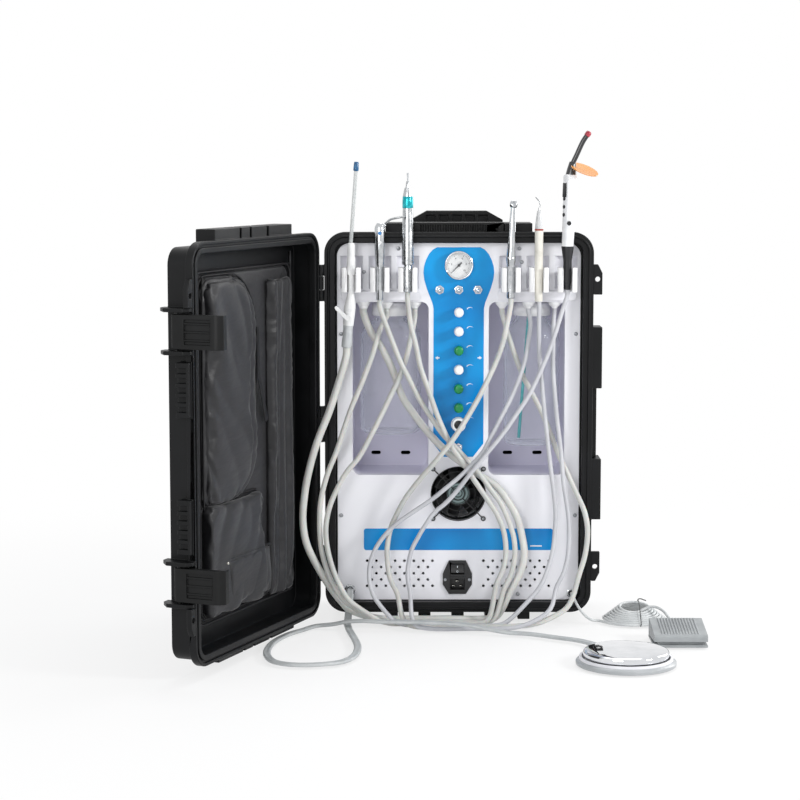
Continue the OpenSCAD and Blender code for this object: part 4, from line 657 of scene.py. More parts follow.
# Clear lens: 1.4 mm polycarbonate snapped inside the bezel.
lens_clear = see_through("clear_lens", "#dfe4ea", "#f2f5f8", 0.03, 0.04, 0.4)
lens = turned("gauge_lens", [(9.5, 20.1), (10.1, 20.1), (10.8, 17), (11.2, 11), (11.35, 4)],
              (0, FACE, GAUGE_Z), FRONT, 64)
settle(lens, "base", lens_clear, "bottle_clear")

# Flow knobs: turned acetal, white or green, on steel stems, with a pin-sized dimple in the face.
white_acetal = finish("white_acetal", "#f0f1f2", "#fafafa", (0.25, 0.34), 12, 1.0, 0.004)
green_acetal = finish("green_acetal", "#067a3f", "#0d9a52", (0.25, 0.34), 12, 1.0, 0.004)
for k, stuff in enumerate((white_acetal, white_acetal, green_acetal, white_acetal, green_acetal,
                           green_acetal)):
    knob = turned("flow_knob", [
        (2.6, 3.3), (2.6, 6.4), (3.2, 7.4), (5.0, 7.75), (16.6, 7.7), (18.2, 7.2), (19.3, 6.1),
        (19.8, 4.4), (20.0, 2.4), (19.9, 1.2)], (0, FACE, 510 - 31.2 * k), FRONT, 48, 0)
    knob.name = "flow_knob_face_%d" % (k + 1)
    settle(knob, "flow_knob_%d" % (k + 1), stuff,
           "green_plastic" if stuff is green_acetal else "white_plastic", "flow_knob_%d" % (k + 1))

# Pressure regulator: a white knurled ring round a dark adjusting screw.
ring = turned("regulator_ring", [
    (2.4, 3.4), (2.4, 10.2), (3.2, 11.4), (12.6, 11.4), (14.2, 10.8), (14.9, 9.4), (14.6, 8.0),
    (11.4, 7.5)], (0, FACE, 326), FRONT, 60, 0.0)
settle(ring, "regulator_knob", white_acetal, "white_plastic", "regulator_knob")
core = turned("regulator_core", [
    (11.2, 7.3), (11.8, 7.0), (12.6, 4.2), (13.6, 3.6), (13.6, 1.8), (12.8, 1.5)],
    (0, FACE, 326), FRONT, 36, 0.15)
settle(core, "regulator_knob", black_paint, "needle_black")

# Toggle switches: a plated bush with a hexagon nut, and a ball-ended lever.
bushes = []
for k in (-1, 0, 1):
    bushes.append(turned("nut", [(0.02, 7.4), (0.4, 7.7), (2.6, 7.7), (3.0, 7.2), (3.1, 5.0)],
                         (31 * k, FACE, 546), FRONT, 6, 0.2, spin=math.radians(12 + 20 * k)))
    bushes.append(turned("thread", [
        (3.0, 5.0), (3.9, 5.05), (4.3, 4.75), (4.8, 5.05), (5.3, 4.75), (5.8, 5.05), (6.3, 4.75),
        (6.8, 5.05), (7.6, 4.8), (8.0, 4.3), (7.9, 3.9), (7.2, 3.7)], (31 * k, FACE, 546), FRONT, 32))
# Knob stems and the service port under the regulator.
for k in range(6):
    bushes.append(turned("stem", [(0.02, 5.2), (1.6, 5.2), (2.1, 3.0), (11, 3.0)],
                         (0, FACE, 510 - 31.2 * k), FRONT, 24))
bushes.append(turned("seat", [(0.02, 12.3), (1.2, 12.5), (2.0, 12.2), (2.1, 3.0), (9, 3.0)],
                     (0, FACE, 326), FRONT, 40))
bushes.append(turned("port", [
    (0.02, 7.0), (2.6, 7.0), (3.0, 6.6), (3.0, 4.6), (7.0, 4.5), (7.4, 3.9), (8.0, 3.9), (8.4, 4.5),
    (11.6, 4.3), (12.0, 3.6), (11.9, 2.2), (8, 2.0)], (0, FACE, 288), FRONT, 6, 0.15))
settle(joined("toggle_bushes", bushes), "base", chrome, "chrome", "panel_fittings")
for k in (-1, 0, 1):
    lever = turned("toggle_lever", [
        (1.5, 2.0), (1.9, 3.0), (3.2, 3.45), (5.2, 3.1), (6.9, 1.9), (7.6, 1.35), (14, 1.7),
        (19, 2.05), (21.2, 2.7), (23.2, 2.5), (24.7, 1.7), (25.1, 0.8)],
        (31 * k, FACE, 546), FRONT, 28)
    lever.name = "toggle_lever_%d" % (k + 2)
    settle(lever, "toggle_%d" % (k + 2), chrome, "chrome", "toggle_%d" % (k + 2))

# ---- Panel screws ----
# Pan-head machine screws with a cross recess, zinc plated; some are blackened on the unit, but all get the
# zinc finish here.

screw_zinc = finish("zinc_plate", "#83868a", "#a2a5a8", (0.28, 0.42), 5, 0.6, 0.004, 1.0)


def screw(x, z, out, radius, turn):
    """One pan head with its cross recess, standing on the panel at x and z."""
    head = turned("screw", [(out, radius), (out + radius * 0.28, radius),
                            (out + radius * 0.55, radius * 0.82), (out + radius * 0.66, radius * 0.45)],
                  (x, FACE, z), FRONT, 20)
    for angle in (turn, turn + 90):
        slot = block("slot", (-radius * 0.62, -1, -radius * 0.13), (radius * 0.62, 1, radius * 0.13))
        slot.data.transform(
            Matrix.Translation(Vector((x, FACE - out - radius * 0.85 - 0.35, z)) * MM)
            @ Matrix.Rotation(math.radians(angle), 4, "Y"))
        select_only(head)
        cut = head.modifiers.new("recess", "BOOLEAN")
        cut.object = slot
        cut.solver = "EXACT"
        bpy.ops.object.modifier_apply(modifier=cut.name)
        bpy.data.objects.remove(slot)
    return head


screws = []
for k, (x, z) in enumerate([(98, 285), (-98, 285), (191, 146), (-191, 146), (192, -153),
                            (-192, -153), (99, -284), (-99, -284), (-154, 247), (102, 263)]):
    screws.append(screw(x, MIDDLE + z, 0.02, 3.2, 17 * k))
for k, x in enumerate((-21, 19)):
    screws.append(screw(x, MIDDLE - 260, 3.02, 2.6, 40 + 25 * k))
settle(joined("screw_heads", screws), "base", screw_zinc, "screw_dark", "panel_screws")

# ---- Cooling fan ----
# A 92 mm axial fan of black glass-filled polyester behind a wire finger guard. A paper label, left
# blank, sits on the hub.

fan_plastic = finish("fan_polyester", "#0b0c0d", "#161719", (0.4, 0.55), 20, 0.9, 0.02)
dress("fan_frame", fan_plastic, 0.4)
dress("fan_rotor", fan_plastic, 0.3)
FAN_Z = 211.0
wire_black = finish("powder_coated_wire", "#0e0f10", "#1a1b1d", (0.3, 0.45), 8, 0.7, 0.01)
wires = []
for radius in (10, 19, 28, 36.5, 44.5):
    select_only(camera)
    bpy.ops.mesh.primitive_torus_add(
        location=(0, (FACE - 2) * MM, FAN_Z * MM), rotation=(math.radians(90), 0, 0),
        major_radius=radius * MM, minor_radius=0.75 * MM, major_segments=72, minor_segments=10)
    bpy.ops.object.transform_apply(location=True, rotation=True, scale=True)
    bpy.ops.object.shade_smooth()
    wires.append(bpy.context.object)
for k in range(4):
    a = math.radians(45 + 90 * k)
    out = Vector((math.cos(a), 0, math.sin(a)))
    start = Vector((0, FACE - 3.4, FAN_Z)) + out * 9.5
    wires.append(turned("arm", [(0, 0.8), (0.4, 1.0), (40.6, 1.0), (46.5, 1.0)], start, out, 12))
    eye = Vector((0, FACE - 3.4, FAN_Z)) + out * 58.34
    select_only(camera)
    bpy.ops.mesh.primitive_torus_add(
        location=(eye.x * MM, (FACE - 2.4) * MM, eye.z * MM), rotation=(math.radians(90), 0, 0),
        major_radius=3.2 * MM, minor_radius=0.9 * MM, major_segments=28, minor_segments=8)
    bpy.ops.object.transform_apply(location=True, rotation=True, scale=True)
    bpy.ops.object.shade_smooth()
    wires.append(bpy.context.object)
settle(joined("fan_finger_guard", wires), "base", wire_black, "fan_black", "fan_guard")
bolts = []
for x in (-41.25, 41.25):
    for z in (-41.25, 41.25):
        bolts.append(screw(x, FAN_Z + z, 1.6, 2.7, 3 * x + z))
        bolts.append(turned("shank", [(-9, 1.9), (1.7, 1.95)], (x, FACE, FAN_Z + z), FRONT, 16))
settle(joined("fan_screws", bolts), "base", screw_zinc, "screw_dark")

# The label: grey-green coated paper with plain printed rings.
label, tree, shader, place = surface("coated_paper", 0.45)
shift = add(tree, "ShaderNodeMapping", {}, {"Vector": place, "Location": (0.0, 0.0, -FAN_Z * MM)})
parts = add(tree, "ShaderNodeSeparateXYZ", {}, {"Vector": shift.outputs["Vector"]})
flat = add(tree, "ShaderNodeCombineXYZ", {}, {"X": parts.outputs["X"], "Z": parts.outputs["Z"]})
away = add(tree, "ShaderNodeVectorMath", {"operation": "LENGTH"}, {0: flat.outputs["Vector"]})
# One ring in 5.2 mm.
turns = add(tree, "ShaderNodeMath", {"operation": "MULTIPLY"}, {
    0: away.outputs["Value"], 1: 2 * math.pi * 1000 / 5.2})
wave = add(tree, "ShaderNodeMath", {"operation": "SINE"}, {0: turns.outputs[0]})
rings = add(tree, "ShaderNodeMapRange", {}, {
    "Value": wave.outputs[0], "From Min": 0.1, "From Max": 0.5})
ring_tone = add(tree, "ShaderNodeMix", {"data_type": "RGBA"}, {
    "Factor": rings.outputs["Result"], "A": linear("#8fa5a5"), "B": linear("#41504f")})
tree.links.new(ring_tone.outputs["Result"], shader.inputs["Base Color"])
paper_label = turned("fan_label", [(-5.05, 18.3), (-4.9, 18.3), (-4.8, 17.9)],
                     (0, FACE, FAN_Z), FRONT, 64)
settle(paper_label, "fan_rotor", label, "fan_black")

# ---- Mains inlet ----
# A black moulded inlet with a rocker switch over a fused three-pin socket; the pins are nickel.

inlet_plastic = finish("moulded_nylon_inlet", "#0c0c0e", "#17171a", (0.28, 0.4), 18, 0.8, 0.012)
dress("mains_inlet", inlet_plastic, 0.5)
dress("rocker_switch", inlet_plastic, 0.4)
nickel = finish("nickel_plate", "#b3b1a9", "#c8c6bf", (0.16, 0.26), 6, 0.6, 0.003, 1.0)
pins = [block("pin", (-3.1, -76.9, 62.9), (1.1, -63, 65.1), 0.35),
        block("pin", (-9.1, -76.9, 54.9), (-4.9, -63, 57.1), 0.35),
        block("pin", (2.9, -76.9, 54.9), (7.1, -63, 57.1), 0.35)]
settle(joined("inlet_pins", pins), "base", nickel, "inlet_black")
# The rocker's own marks, a bar and a ring, moulded in white.
bar = block("bar", (-1.5, -84.65, 88.4), (-0.5, -84.0, 91.6), 0.1)
select_only(camera)
bpy.ops.mesh.primitive_torus_add(location=(-0.001, -0.0862, 0.0824), rotation=(math.radians(64), 0, 0),
                                 major_radius=0.0013, minor_radius=0.0003, major_segments=24,
                                 minor_segments=8)
bpy.ops.object.transform_apply(location=True, rotation=True, scale=True)
settle(joined("rocker_marks", [bar, bpy.context.object]), "rocker_switch", white_ink, "white_plastic")

# ---- Grommets of the two pedal leads ----
# Plated bushes round the holes low in the panel's corners, with black rubber liners.

grommets = []
for x, z, radius in ((-178, 50, 8.2), (187, 45, 6.8)):
    grommets.append(turned("bush", [
        (-2.9, radius - 0.1), (0.05, radius + 0.6), (1.2, radius + 0.5), (1.6, radius - 0.4),
        (1.4, radius - 1.6), (0.6, radius - 2.0)], (x, FACE, z), FRONT, 40))
settle(joined("lead_bushes", grommets), "base", chrome, "chrome")
liners = [turned("liner", [(-2.8, 5.9), (0.5, 6.0), (0.9, 5.2), (0.2, 3.4)], (-178, FACE, 50), FRONT, 36),
          turned("liner", [(-2.8, 4.4), (0.6, 4.6), (2.9, 4.3), (3.3, 3.4), (2.9, 2.6)],
                 (187, FACE, 45), FRONT, 36)]
settle(joined("lead_liners", liners), "base", foam_rubber, "rubber_black")

# ---- Hose outlets and bottle caps ----
# White moulded domes in the bays' ceilings that the hoses push on, and ribbed polypropylene caps.

outlets = []
for x, radius in ((-155, 6.0), (-117, 4.3), (-71, 4.3), (71, 4.3), (114, 3.6), (157, 3.6)):
    outlets.append(turned("outlet", [
        (-0.05, 10.6), (-2.2, 10.6), (-4.4, 9.6), (-6.6, 7.8), (-8.6, radius + 1.6),
        (-10.4, radius + 1.0), (-11, radius + 0.2)], (x, -68, 526), (0, 0, 1), 40, 0.2))
settle(joined("hose_outlets", outlets), "base", white_acetal, "white_plastic")
caps = []
for x in (-111, 122):
    cap = turned("cap", [
        (0, 30.0), (0.6, 30.4), (16.5, 30.4), (18.6, 29.9), (20.6, 28.3), (21.9, 25.5), (22, 15.2),
        (25, 15.2)], (x, -27, 501), (0, 0, 1), 96)
    # The grip's ribs: every second face of the skirt is raised.
    bpy.ops.object.mode_set(mode="EDIT")
    bpy.ops.mesh.select_all(action="DESELECT")
    bpy.ops.object.mode_set(mode="OBJECT")
    for face in cap.data.polygons:
        around = math.atan2(face.center.y + 0.027, face.center.x - x * MM)
        side = abs(face.normal.z) < 0.1 and 0.503 < face.center.z < 0.517
        face.select = side and int((around + math.pi) / (2 * math.pi) * 96) % 2 == 0
    bpy.ops.object.mode_set(mode="EDIT")
    bpy.ops.mesh.inset(thickness=0.25 * MM, depth=0.55 * MM, use_individual=True)
    bpy.ops.object.mode_set(mode="OBJECT")
    caps.append(cap)
settle(joined("bottle_caps", caps), "base", white_acetal, "white_plastic")
# Pick-up tube of the water bottle: soft teal vinyl.
teal_vinyl = finish("teal_vinyl", "#239a9e", "#45c0c2", (0.2, 0.3), 25, 0.9, 0.01)
foot = Vector((102, -21, 296))
top = Vector((118, -27, 519.5))
straw = turned("pickup_tube", [(0, 1.6), (0, 2.5), ((top - foot).length, 2.5)], foot, top - foot, 24)
settle(straw, "base", teal_vinyl, "fitting_metal")

# ---- Bottles ----
# Blown clear PET with rounded shoulders and a foot; the wall shows at its edges, where the light
# runs through more of it.

clear_pet = see_through("clear_pet", "#cfd6e2", "#eef2f8", 0.06, 0.1, 0.72)
for name, x, radius, bottom in (("waste_bottle", -111, 50, 307), ("water_bottle", 122, 46, 288)):
    bottle = turned(name + "_skin", [
        (bottom + 3, radius - 16), (bottom, radius - 11), (bottom + 0.6, radius - 6),
        (bottom + 3, radius - 2), (bottom + 8, radius), (bottom + 60, radius), (bottom + 61.5, radius - 0.9),
        (bottom + 64, radius - 0.9), (bottom + 65.5, radius), (462, radius), (472, radius - 1.6),
        (481, radius - 6), (488, radius - 13), (494, 28), (498, 26), (519, 26)],
        (x, -27, 0), (0, 0, 1), 72, 0, 60)
    settle(bottle, name, clear_pet, "bottle_clear", name)

# ---- Air tank and pump behind the panel ----
# A white painted steel tank with a bare aluminium oil-free pump over it; both are one node and get the
# tank's painted finish.

tank_paint = finish("painted_steel", "#d2d5d9", "#dfe1e4", (0.35, 0.5), 50, 1.2, 0.01)
dress("compressor", tank_paint, 0.8)

# ---- Suction handle ----
# The saliva ejector in its seat: a clear vinyl tube with a soft blue tip, a white acetal body with a
# slide valve worked by a small lever, and the grey socket that the hose pushes into.

SEAT_Y = -108.0
white_nylon = finish("white_nylon", "#e9eaea", "#f7f7f6", (0.26, 0.38), 18, 0.9, 0.008)
grey_socket = finish("grey_socket", "#b6babc", "#cdd0d1", (0.34, 0.45), 24, 0.9, 0.01)
blue_tip = finish("soft_blue_vinyl", "#144d78", "#2a76a6", (0.22, 0.32), 6, 0.6, 0.006)
tube_clear = see_through("clear_vinyl", "#cfd3d3", "#e9ebea", 0.12, 0.38, 0.9)
x = -174
foot, tip = Vector((x - 1, SEAT_Y, 618)), Vector((x + 8, SEAT_Y, 740))
tall = (tip - foot).length
straw = turned("ejector_tube", [(0, 3.1), (tall, 3.1), (tall - 0.2, 2.3), (1, 2.3)], foot, tip - foot, 28)
settle(straw, "base", tube_clear, "light_white")
end = turned("ejector_tip", [
    (-2, 3.2), (-1.6, 4.0), (0, 4.4), (3, 4.35), (11.2, 3.95), (12.6, 3.3), (12.9, 2.2), (11.5, 1.6),
    (4, 1.5)], tip, Vector((1, 0, 14)), 32)
settle(end, "base", blue_tip, "light_white")
body = [
    turned("nut", [(572, 6.3), (573, 6.8), (599, 6.8), (600, 6.4), (600.6, 6.1), (604, 6.1), (605, 6.2),
                   (619, 6.2), (622, 5.6), (623, 4.4)], (x, SEAT_Y, 0), (0, 0, 1), 48),
    turned("stem", [(540, 4.2), (573, 4.2)], (x, SEAT_Y, 0), (0, 0, 1), 32),
    turned("cheek", [(0, 4.4), (2, 5.0), (9, 6.3), (18, 8.4), (25, 9.4), (30, 9.3), (55, 8.5)],
           (x, SEAT_Y, 545), Vector((-5, 0, -55)), 40),
    turned("pivot", [(-3, 2), (12.9, 2), (13.4, 1.5)], (x - 5, SEAT_Y, 503), FRONT, 24)]
settle(joined("ejector_body", body), "base", white_nylon, "light_white", "suction_handle")
socket = turned("ejector_socket", [
    (-1, 7.4), (0, 7.9), (8, 7.9), (9, 7.5), (10.5, 7.5), (11.5, 7.9), (22, 7.8), (24, 8.3),
    (37, 8.3), (38.5, 7.6)], (x - 4.8, SEAT_Y, 493), Vector((-3.1, 0, -38)), 40)
settle(socket, "base", grey_socket, "light_white")
dress("suction_lever", white_nylon, 0.5)

# ---- Three-way syringe ----
# A chromed brass body turned in one, with a bent steel nozzle in a union nut and two buttons, for air
# and for water.

satin_steel = finish("satin_steel", "#a9acae", "#c3c5c7", (0.2, 0.32), 7, 0.6, 0.004, 1.0)
bright_steel = finish("bright_steel", "#b4b7ba", "#cfd1d3", (0.1, 0.18), 12, 1.2, 0.003, 1.0)
x = -128
barrel = [turned("barrel", [
    (531, 5.0), (532, 5.6), (544, 5.6), (545, 6.2), (546, 6.8), (583, 6.8), (586, 6.9), (600, 7.7),
    (612, 8.4), (613, 8.5), (646, 8.5), (650, 7.6), (654, 5.4), (655, 4.2)], (x, SEAT_Y, 0), (0, 0, 1), 56)]
away = Vector((14, -8, 12)).normalized()
barrel.append(turned("union", [(-4, 4.6), (1.5, 4.6), (2.5, 4.0), (5, 3.8), (6, 3.0)],
                     Vector((x + 2, SEAT_Y, 648)) + away * 3, away, 12, 0.3))
settle(joined("syringe_barrel", barrel), "base", bright_steel, "handpiece_steel", "syringe_body")


def bent_rod(name, points, radius):
    """A round rod bent through points in mm."""
    made = round_tube(name, spline_through(points, 5), radius)
    select_only(made)
    bpy.ops.object.convert(target="MESH")
    return bpy.context.object


nozzle = bent_rod("syringe_nozzle", [
    (x + 4, SEAT_Y - 1.2, 649.8), (x + 8, SEAT_Y - 3.6, 653.2), (x + 12, SEAT_Y - 6, 657),
    (x + 16, SEAT_Y - 8, 660.4), (x + 21, SEAT_Y - 10, 662.3), (x + 29, SEAT_Y - 12.8, 664),
    (x + 39, SEAT_Y - 16, 666)], 1.8)
settle(nozzle, "base", satin_steel, "handpiece_steel")
blue_button = finish("blue_button", "#2f6fb0", "#4a8cc8", (0.22, 0.3), 5, 0.6, 0.003)
dress("syringe_button_air", blue_button, 0.4)
dress("syringe_button_water", white_nylon, 0.4)

# ---- Slow handpiece ----
# Air motor and straight handpiece in satin steel, with a turquoise anodised ring, a chuck cone and a
# plain bur; its body and sheath screw together.

x = -83
motor = [turned("motor", [
    (544, 6.0), (545, 6.8), (549, 6.8), (549.6, 6.3), (551, 6.3), (551.6, 6.8), (584, 6.8), (585, 6.3),
    (587.6, 6.3), (588, 8.6), (588.8, 9.6), (594, 9.6), (594.5, 9.2), (595.5, 9.2), (596, 9.6),
    (639, 9.6), (640, 9.45), (650, 9.1), (679, 8.1)], (x, SEAT_Y, 0), (0, 0, 1), 64)]
motor.append(turned("cone", [(697.5, 8.0), (700, 7.7), (706, 6.4), (711.5, 5.1), (712, 3.7),
                             (713, 3.6), (721, 2.7), (722, 2.2)], (x, SEAT_Y, 0), (0, 0, 1), 48))
settle(joined("motor_and_sheath", motor), "base", satin_steel, "handpiece_steel", "slow_handpiece")
turquoise = finish("turquoise_anodised", "#0f96a2", "#35c6cf", (0.16, 0.24), 8, 0.8, 0.003, 0.55)
ring = turned("turquoise_ring", [(678.8, 8.0), (679.2, 8.6), (680, 8.75), (688, 8.8), (697, 8.3),
                                 (697.8, 7.9)], (x, SEAT_Y, 0), (0, 0, 1), 64)
settle(ring, "base", turquoise, "handpiece_steel")
dress("slow_bur", pin_steel, 0.15)

# ---- Turbine handpiece ----
# High-speed contra-angle in satin steel: a swivel coupling, a slim leaning neck and a round head with
# a push cap and a bur.

x = 83
turbine = [
    turned("coupling", [
        (534, 6.0), (535, 6.8), (541, 6.8), (541.5, 6.4), (543, 6.4), (543.5, 6.8), (589, 6.8),
        (590, 7.0), (596, 7.9), (600, 7.9), (601, 7.4)], (x, SEAT_Y, 0), (0, 0, 1), 56),
    turned("neck", [(-1, 7.4), (3, 7.5), (30, 6.5), (55, 5.4), (77, 4.3), (84, 4.0)],
           (x, SEAT_Y, 597), Vector((3, 0, 77)), 48)]
axis = Vector((0, -13, 4)).normalized()
turbine.append(turned("head", [
    (-0.6, 4.6), (0, 5.4), (0.6, 5.9), (1.8, 6.0), (2.0, 5.6), (2.6, 5.6), (2.8, 6.1), (4, 6.3),
    (11, 6.3), (12.6, 5.6), (13.6, 4.2), (13.8, 2.2)], (x + 4, SEAT_Y + 6.2, 682.9), axis, 48))
settle(joined("turbine_body", turbine), "base", bright_steel, "handpiece_steel", "turbine_handpiece")
burr = turned("turbine_bur", [(0, 0.8), (8.6, 0.8), (9.4, 0.55), (10.5, 0.6), (11.2, 0.3)],
              (x + 4, SEAT_Y - 5, 686.6), Vector((0, -10, 3)), 14)
settle(burr, "base", pin_steel, "handpiece_steel")

# ---- Ultrasonic scaler ----
# A cream polysulphone sleeve with a red ring, a grey nose cone and a hooked steel tip.

x = 128
cream = finish("cream_polysulphone", "#dedbd0", "#efece2", (0.26, 0.38), 22, 1.0, 0.008)
sleeve = turned("scaler_sleeve", [
    (529, 6.0), (530, 6.5), (540, 6.4), (560, 6.5), (600, 6.8), (640, 6.8), (643, 6.6)],
    (x, SEAT_Y, 0), (0, 0, 1), 56)
settle(sleeve, "base", cream, "light_white", "scaler_handpiece")
dull_red = finish("dull_red_silicone", "#8e3a33", "#b0544b", (0.4, 0.5), 8, 0.7, 0.01)
band = turned("scaler_ring", [(642.8, 6.5), (643.3, 7.0), (644.2, 7.1), (645.4, 7.0), (645.9, 6.6)],
              (x, SEAT_Y, 0), (0, 0, 1), 56)
settle(band, "base", dull_red, "light_white")
nose = turned("scaler_nose", [(645.6, 6.6), (646.2, 6.7), (655, 5.9), (668, 4.4), (673.5, 3.5),
                              (675, 2.6)], (x, SEAT_Y, 0), (0, 0, 1), 48)
grey_nose = finish("grey_nose", "#c3c5c6", "#dcdddd", (0.24, 0.34), 10, 0.8, 0.006)
settle(nose, "base", grey_nose, "light_white")
shank = turned("shank", [(674, 2.2), (676, 2.2), (676.6, 1.9), (679, 1.8), (680, 1.3)],
               (x, SEAT_Y, 0), (0, 0, 1), 6, 0.15)
hook = bent_rod("hook", [
    (x + 0.2, SEAT_Y, 678.5), (x + 0.8, SEAT_Y, 681), (x + 1.4, SEAT_Y, 684), (x + 0.8, SEAT_Y, 687.5),
    (x - 1.2, SEAT_Y, 691), (x - 3.6, SEAT_Y, 694), (x - 5.8, SEAT_Y, 696.6)], 0.95)
settle(joined("scaler_tip", [shank, hook]), "base", satin_steel, "handpiece_steel")

# ---- Curing light ----
# Battery light in white ABS with a black rubber cable boot, a dark display window and a row of rubber
# buttons, a bent black light guide with a red silicone end, and an amber glare shield.

x = 174
black_rubber = finish("black_boot_rubber", "#111215", "#1d1e22", (0.38, 0.5), 16, 0.8, 0.015)
boot = turned("light_boot", [
    (548, 4.9), (549, 5.6), (552, 5.6), (552.4, 5.1), (553.6, 5.1), (554, 5.6), (557, 5.6), (558, 5.8),
    (560, 6.6), (561, 6.8), (593, 6.8), (596, 7.0), (606, 8.6), (616, 9.9), (617.6, 9.9), (618, 9.2)],
    (x, SEAT_Y, 0), (0, 0, 1), 48)
settle(boot, "base", black_rubber, "light_white", "curing_light")
rise = Vector((4, 0, 116))
white_abs = finish("white_abs", "#e9eaec", "#f6f7f8", (0.22, 0.32), 22, 1.2, 0.006, Coat_Weight=0.2,
                   Coat_Roughness=0.1)
shell = turned("light_shell", [
    (0, 8.6), (0.8, 9.5), (30, 9.9), (60, 10.4), (90, 11.0), (112, 11.45), (115.5, 11.2), (116.5, 9.6)],
    (x, SEAT_Y, 616), rise, 64)
settle(shell, "base", white_abs, "light_white")
neck = Vector((3.1, 0, 24))
collar = turned("guide_collar", [(0, 9.0), (2, 9.0), (14, 7.4), (20, 6.2), (23.5, 5.6), (25, 4.8)],
                (x + 3.9, SEAT_Y, 728), neck, 40)
guide = bent_rod("guide", [
    (x + 6, SEAT_Y, 748), (x + 9.2, SEAT_Y, 755), (x + 13, SEAT_Y, 763), (x + 17, SEAT_Y, 772),
    (x + 20.6, SEAT_Y, 780), (x + 24.4, SEAT_Y, 787.2), (x + 28.4, SEAT_Y, 793.2),
    (x + 31, SEAT_Y, 796.8)], 4.05)
guide_black = finish("guide_black", "#141517", "#232427", (0.14, 0.22), 12, 0.8, 0.003, Coat_Weight=0.5,
                     Coat_Roughness=0.06)
settle(joined("light_guide", [collar, guide]), "base", guide_black, "light_white")
cap = turned("guide_cap", [(-4.5, 4.3), (-4, 4.7), (0, 4.8), (2.4, 4.4), (3.6, 3.4), (4.1, 1.8)],
             (x + 31.5, SEAT_Y, 797.6), Vector((10, 0, 14)), 32)
red_silicone = finish("red_silicone", "#8f1f30", "#b8404e", (0.2, 0.3), 6, 0.7, 0.004)
settle(cap, "base", red_silicone, "light_white")
# Display window and buttons, on the side that faces left and forward.
across = rise.normalized()
side = Vector((-0.86, -0.5, 0.03)).normalized()
side = (side - across * side.dot(across)).normalized()
window = block("window", (-4.9, -1.1, -11.5), (4.9, 1.5, 11.5), 0.8)
frame_of = Matrix((side.cross(across), side, across)).transposed().to_4x4()
window.data.transform(Matrix.Translation((Vector((x, SEAT_Y, 616)) + rise * 0.79 + side * 9.9) * MM)
                      @ frame_of)
keys = [window]
for share in (0.45, 0.56, 0.67):
    keys.append(turned("key", [(-2, 3.2), (0.4, 3.2), (1.1, 2.9), (1.5, 2.1)],
                       Vector((x, SEAT_Y, 616)) + rise * share + side * (9.2 + 1.3 * share), side, 28))
settle(joined("light_keys", keys), "base", black_rubber, "light_white")
dress("curing_button", black_rubber, 0.5)
# Amber shield: a thin disc on the collar, with a lip moulded round its hole.
amber = see_through("amber_acrylic", "#e08a1e", "#f4ab52", 0.1, 0.5, 0.92)
tilt = Vector((1, -1, 2.8)).normalized()
shield = turned("glare_shield", [
    (-1.1, 22.6), (-1.4, 23.2), (-0.2, 23.5), (0.3, 23.0), (0.2, 21), (0.0, 9)],
    (x + 26, SEAT_Y - 1, 741), tilt, 80)
settle(shield, "base", amber, "light_white")

# ---- Round air pedal ----
# A chromed steel disc, pressed with a rolled edge and a faint crown, slides on a stem in a base of
# grey moulded ABS with a white collar. A short rubber gland takes the twin air hose.

PEDAL_AT = (246, -391)
pedal_plastic, tree, shader, place = surface("pedal_abs", 0.34, Coat_Weight=0.2, Coat_Roughness=0.15)
level = add(tree, "ShaderNodeSeparateXYZ", {}, {"Vector": place})
collar = add(tree, "ShaderNodeMapRange", {}, {
    "Value": level.outputs["Z"], "From Min": 0.0081, "From Max": 0.0083})
specks = add(tree, "ShaderNodeTexNoise", {}, {"Vector": place, "Scale": 45.0, "Detail": 4.0})
foot_tone = add(tree, "ShaderNodeMix", {"data_type": "RGBA"}, {
    "Factor": specks.outputs["Fac"], "A": linear("#9da1a3"), "B": linear("#b4b7b9")})
both_tones = add(tree, "ShaderNodeMix", {"data_type": "RGBA"}, {
    "Factor": collar.outputs["Result"], "A": foot_tone.outputs["Result"], "B": linear("#e6e6ea")})
tree.links.new(both_tones.outputs["Result"], shader.inputs["Base Color"])
scuffs = add(tree, "ShaderNodeBump", {}, {
    "Height": specks.outputs["Fac"], "Distance": 0.02 * MM, "Strength": 0.6})
tree.links.new(scuffs.outputs["Normal"], shader.inputs["Normal"])

foot = turned("pedal_foot", [(1.5, 8.3), (12, 8.3), (12, 12), (4, 12), (4, 67), (12, 67), (12, 71), (8, 71),
                             (8, 72), (5, 76), (0.6, 76), (0, 75.2)],
              (*PEDAL_AT, 0), sides=96, bevel=0.35, angle=28)
gland = turned("pedal_gland", [(0, 5.2), (7, 5.2), (8.5, 4.6), (10, 5.2), (12, 4.6)],
               (PEDAL_AT[0] - 24.6, PEDAL_AT[1] + 67.7, 6), (-4.1, 11.2, 0), sides=24, bevel=0.3)
gland.data.materials.append(grey_nose)
foot.data.materials.append(pedal_plastic)
settle(joined("pedal_foot", [foot, gland]), "base", None, "pedal_white", "round_pedal_base")

# Polished chrome plate: mirror bright, with faint wiping marks.
pedal_chrome = finish("pedal_chrome", "#d6d8db", "#e6e7ea", (0.03, 0.09), 30, 3.0, 0.006, 1.0)
disc = turned("pedal_disc", [(9.7, 8), (20.8, 8), (20.8, 61), (13.0, 61), (12.4, 61.6), (12.4, 63.6),
                             (13.0, 64.7), (14.2, 65), (18.4, 65), (20.2, 64.5), (21.6, 63.2),
                             (22.6, 61), (23.3, 56), (24.1, 45), (24.9, 30), (25.35, 15), (25.45, 3)],
              (*PEDAL_AT, 0), sides=128, angle=40)
settle(disc, "round_pedal_disc", pedal_chrome, "chrome", "round_pedal_disc")

# ---- Switch pedal ----
# Two mouldings of grey ABS: a base with a hinge bar and a cable gland, and a ribbed cover that rocks
# on the bar. The edges are rounded as the tool leaves them.

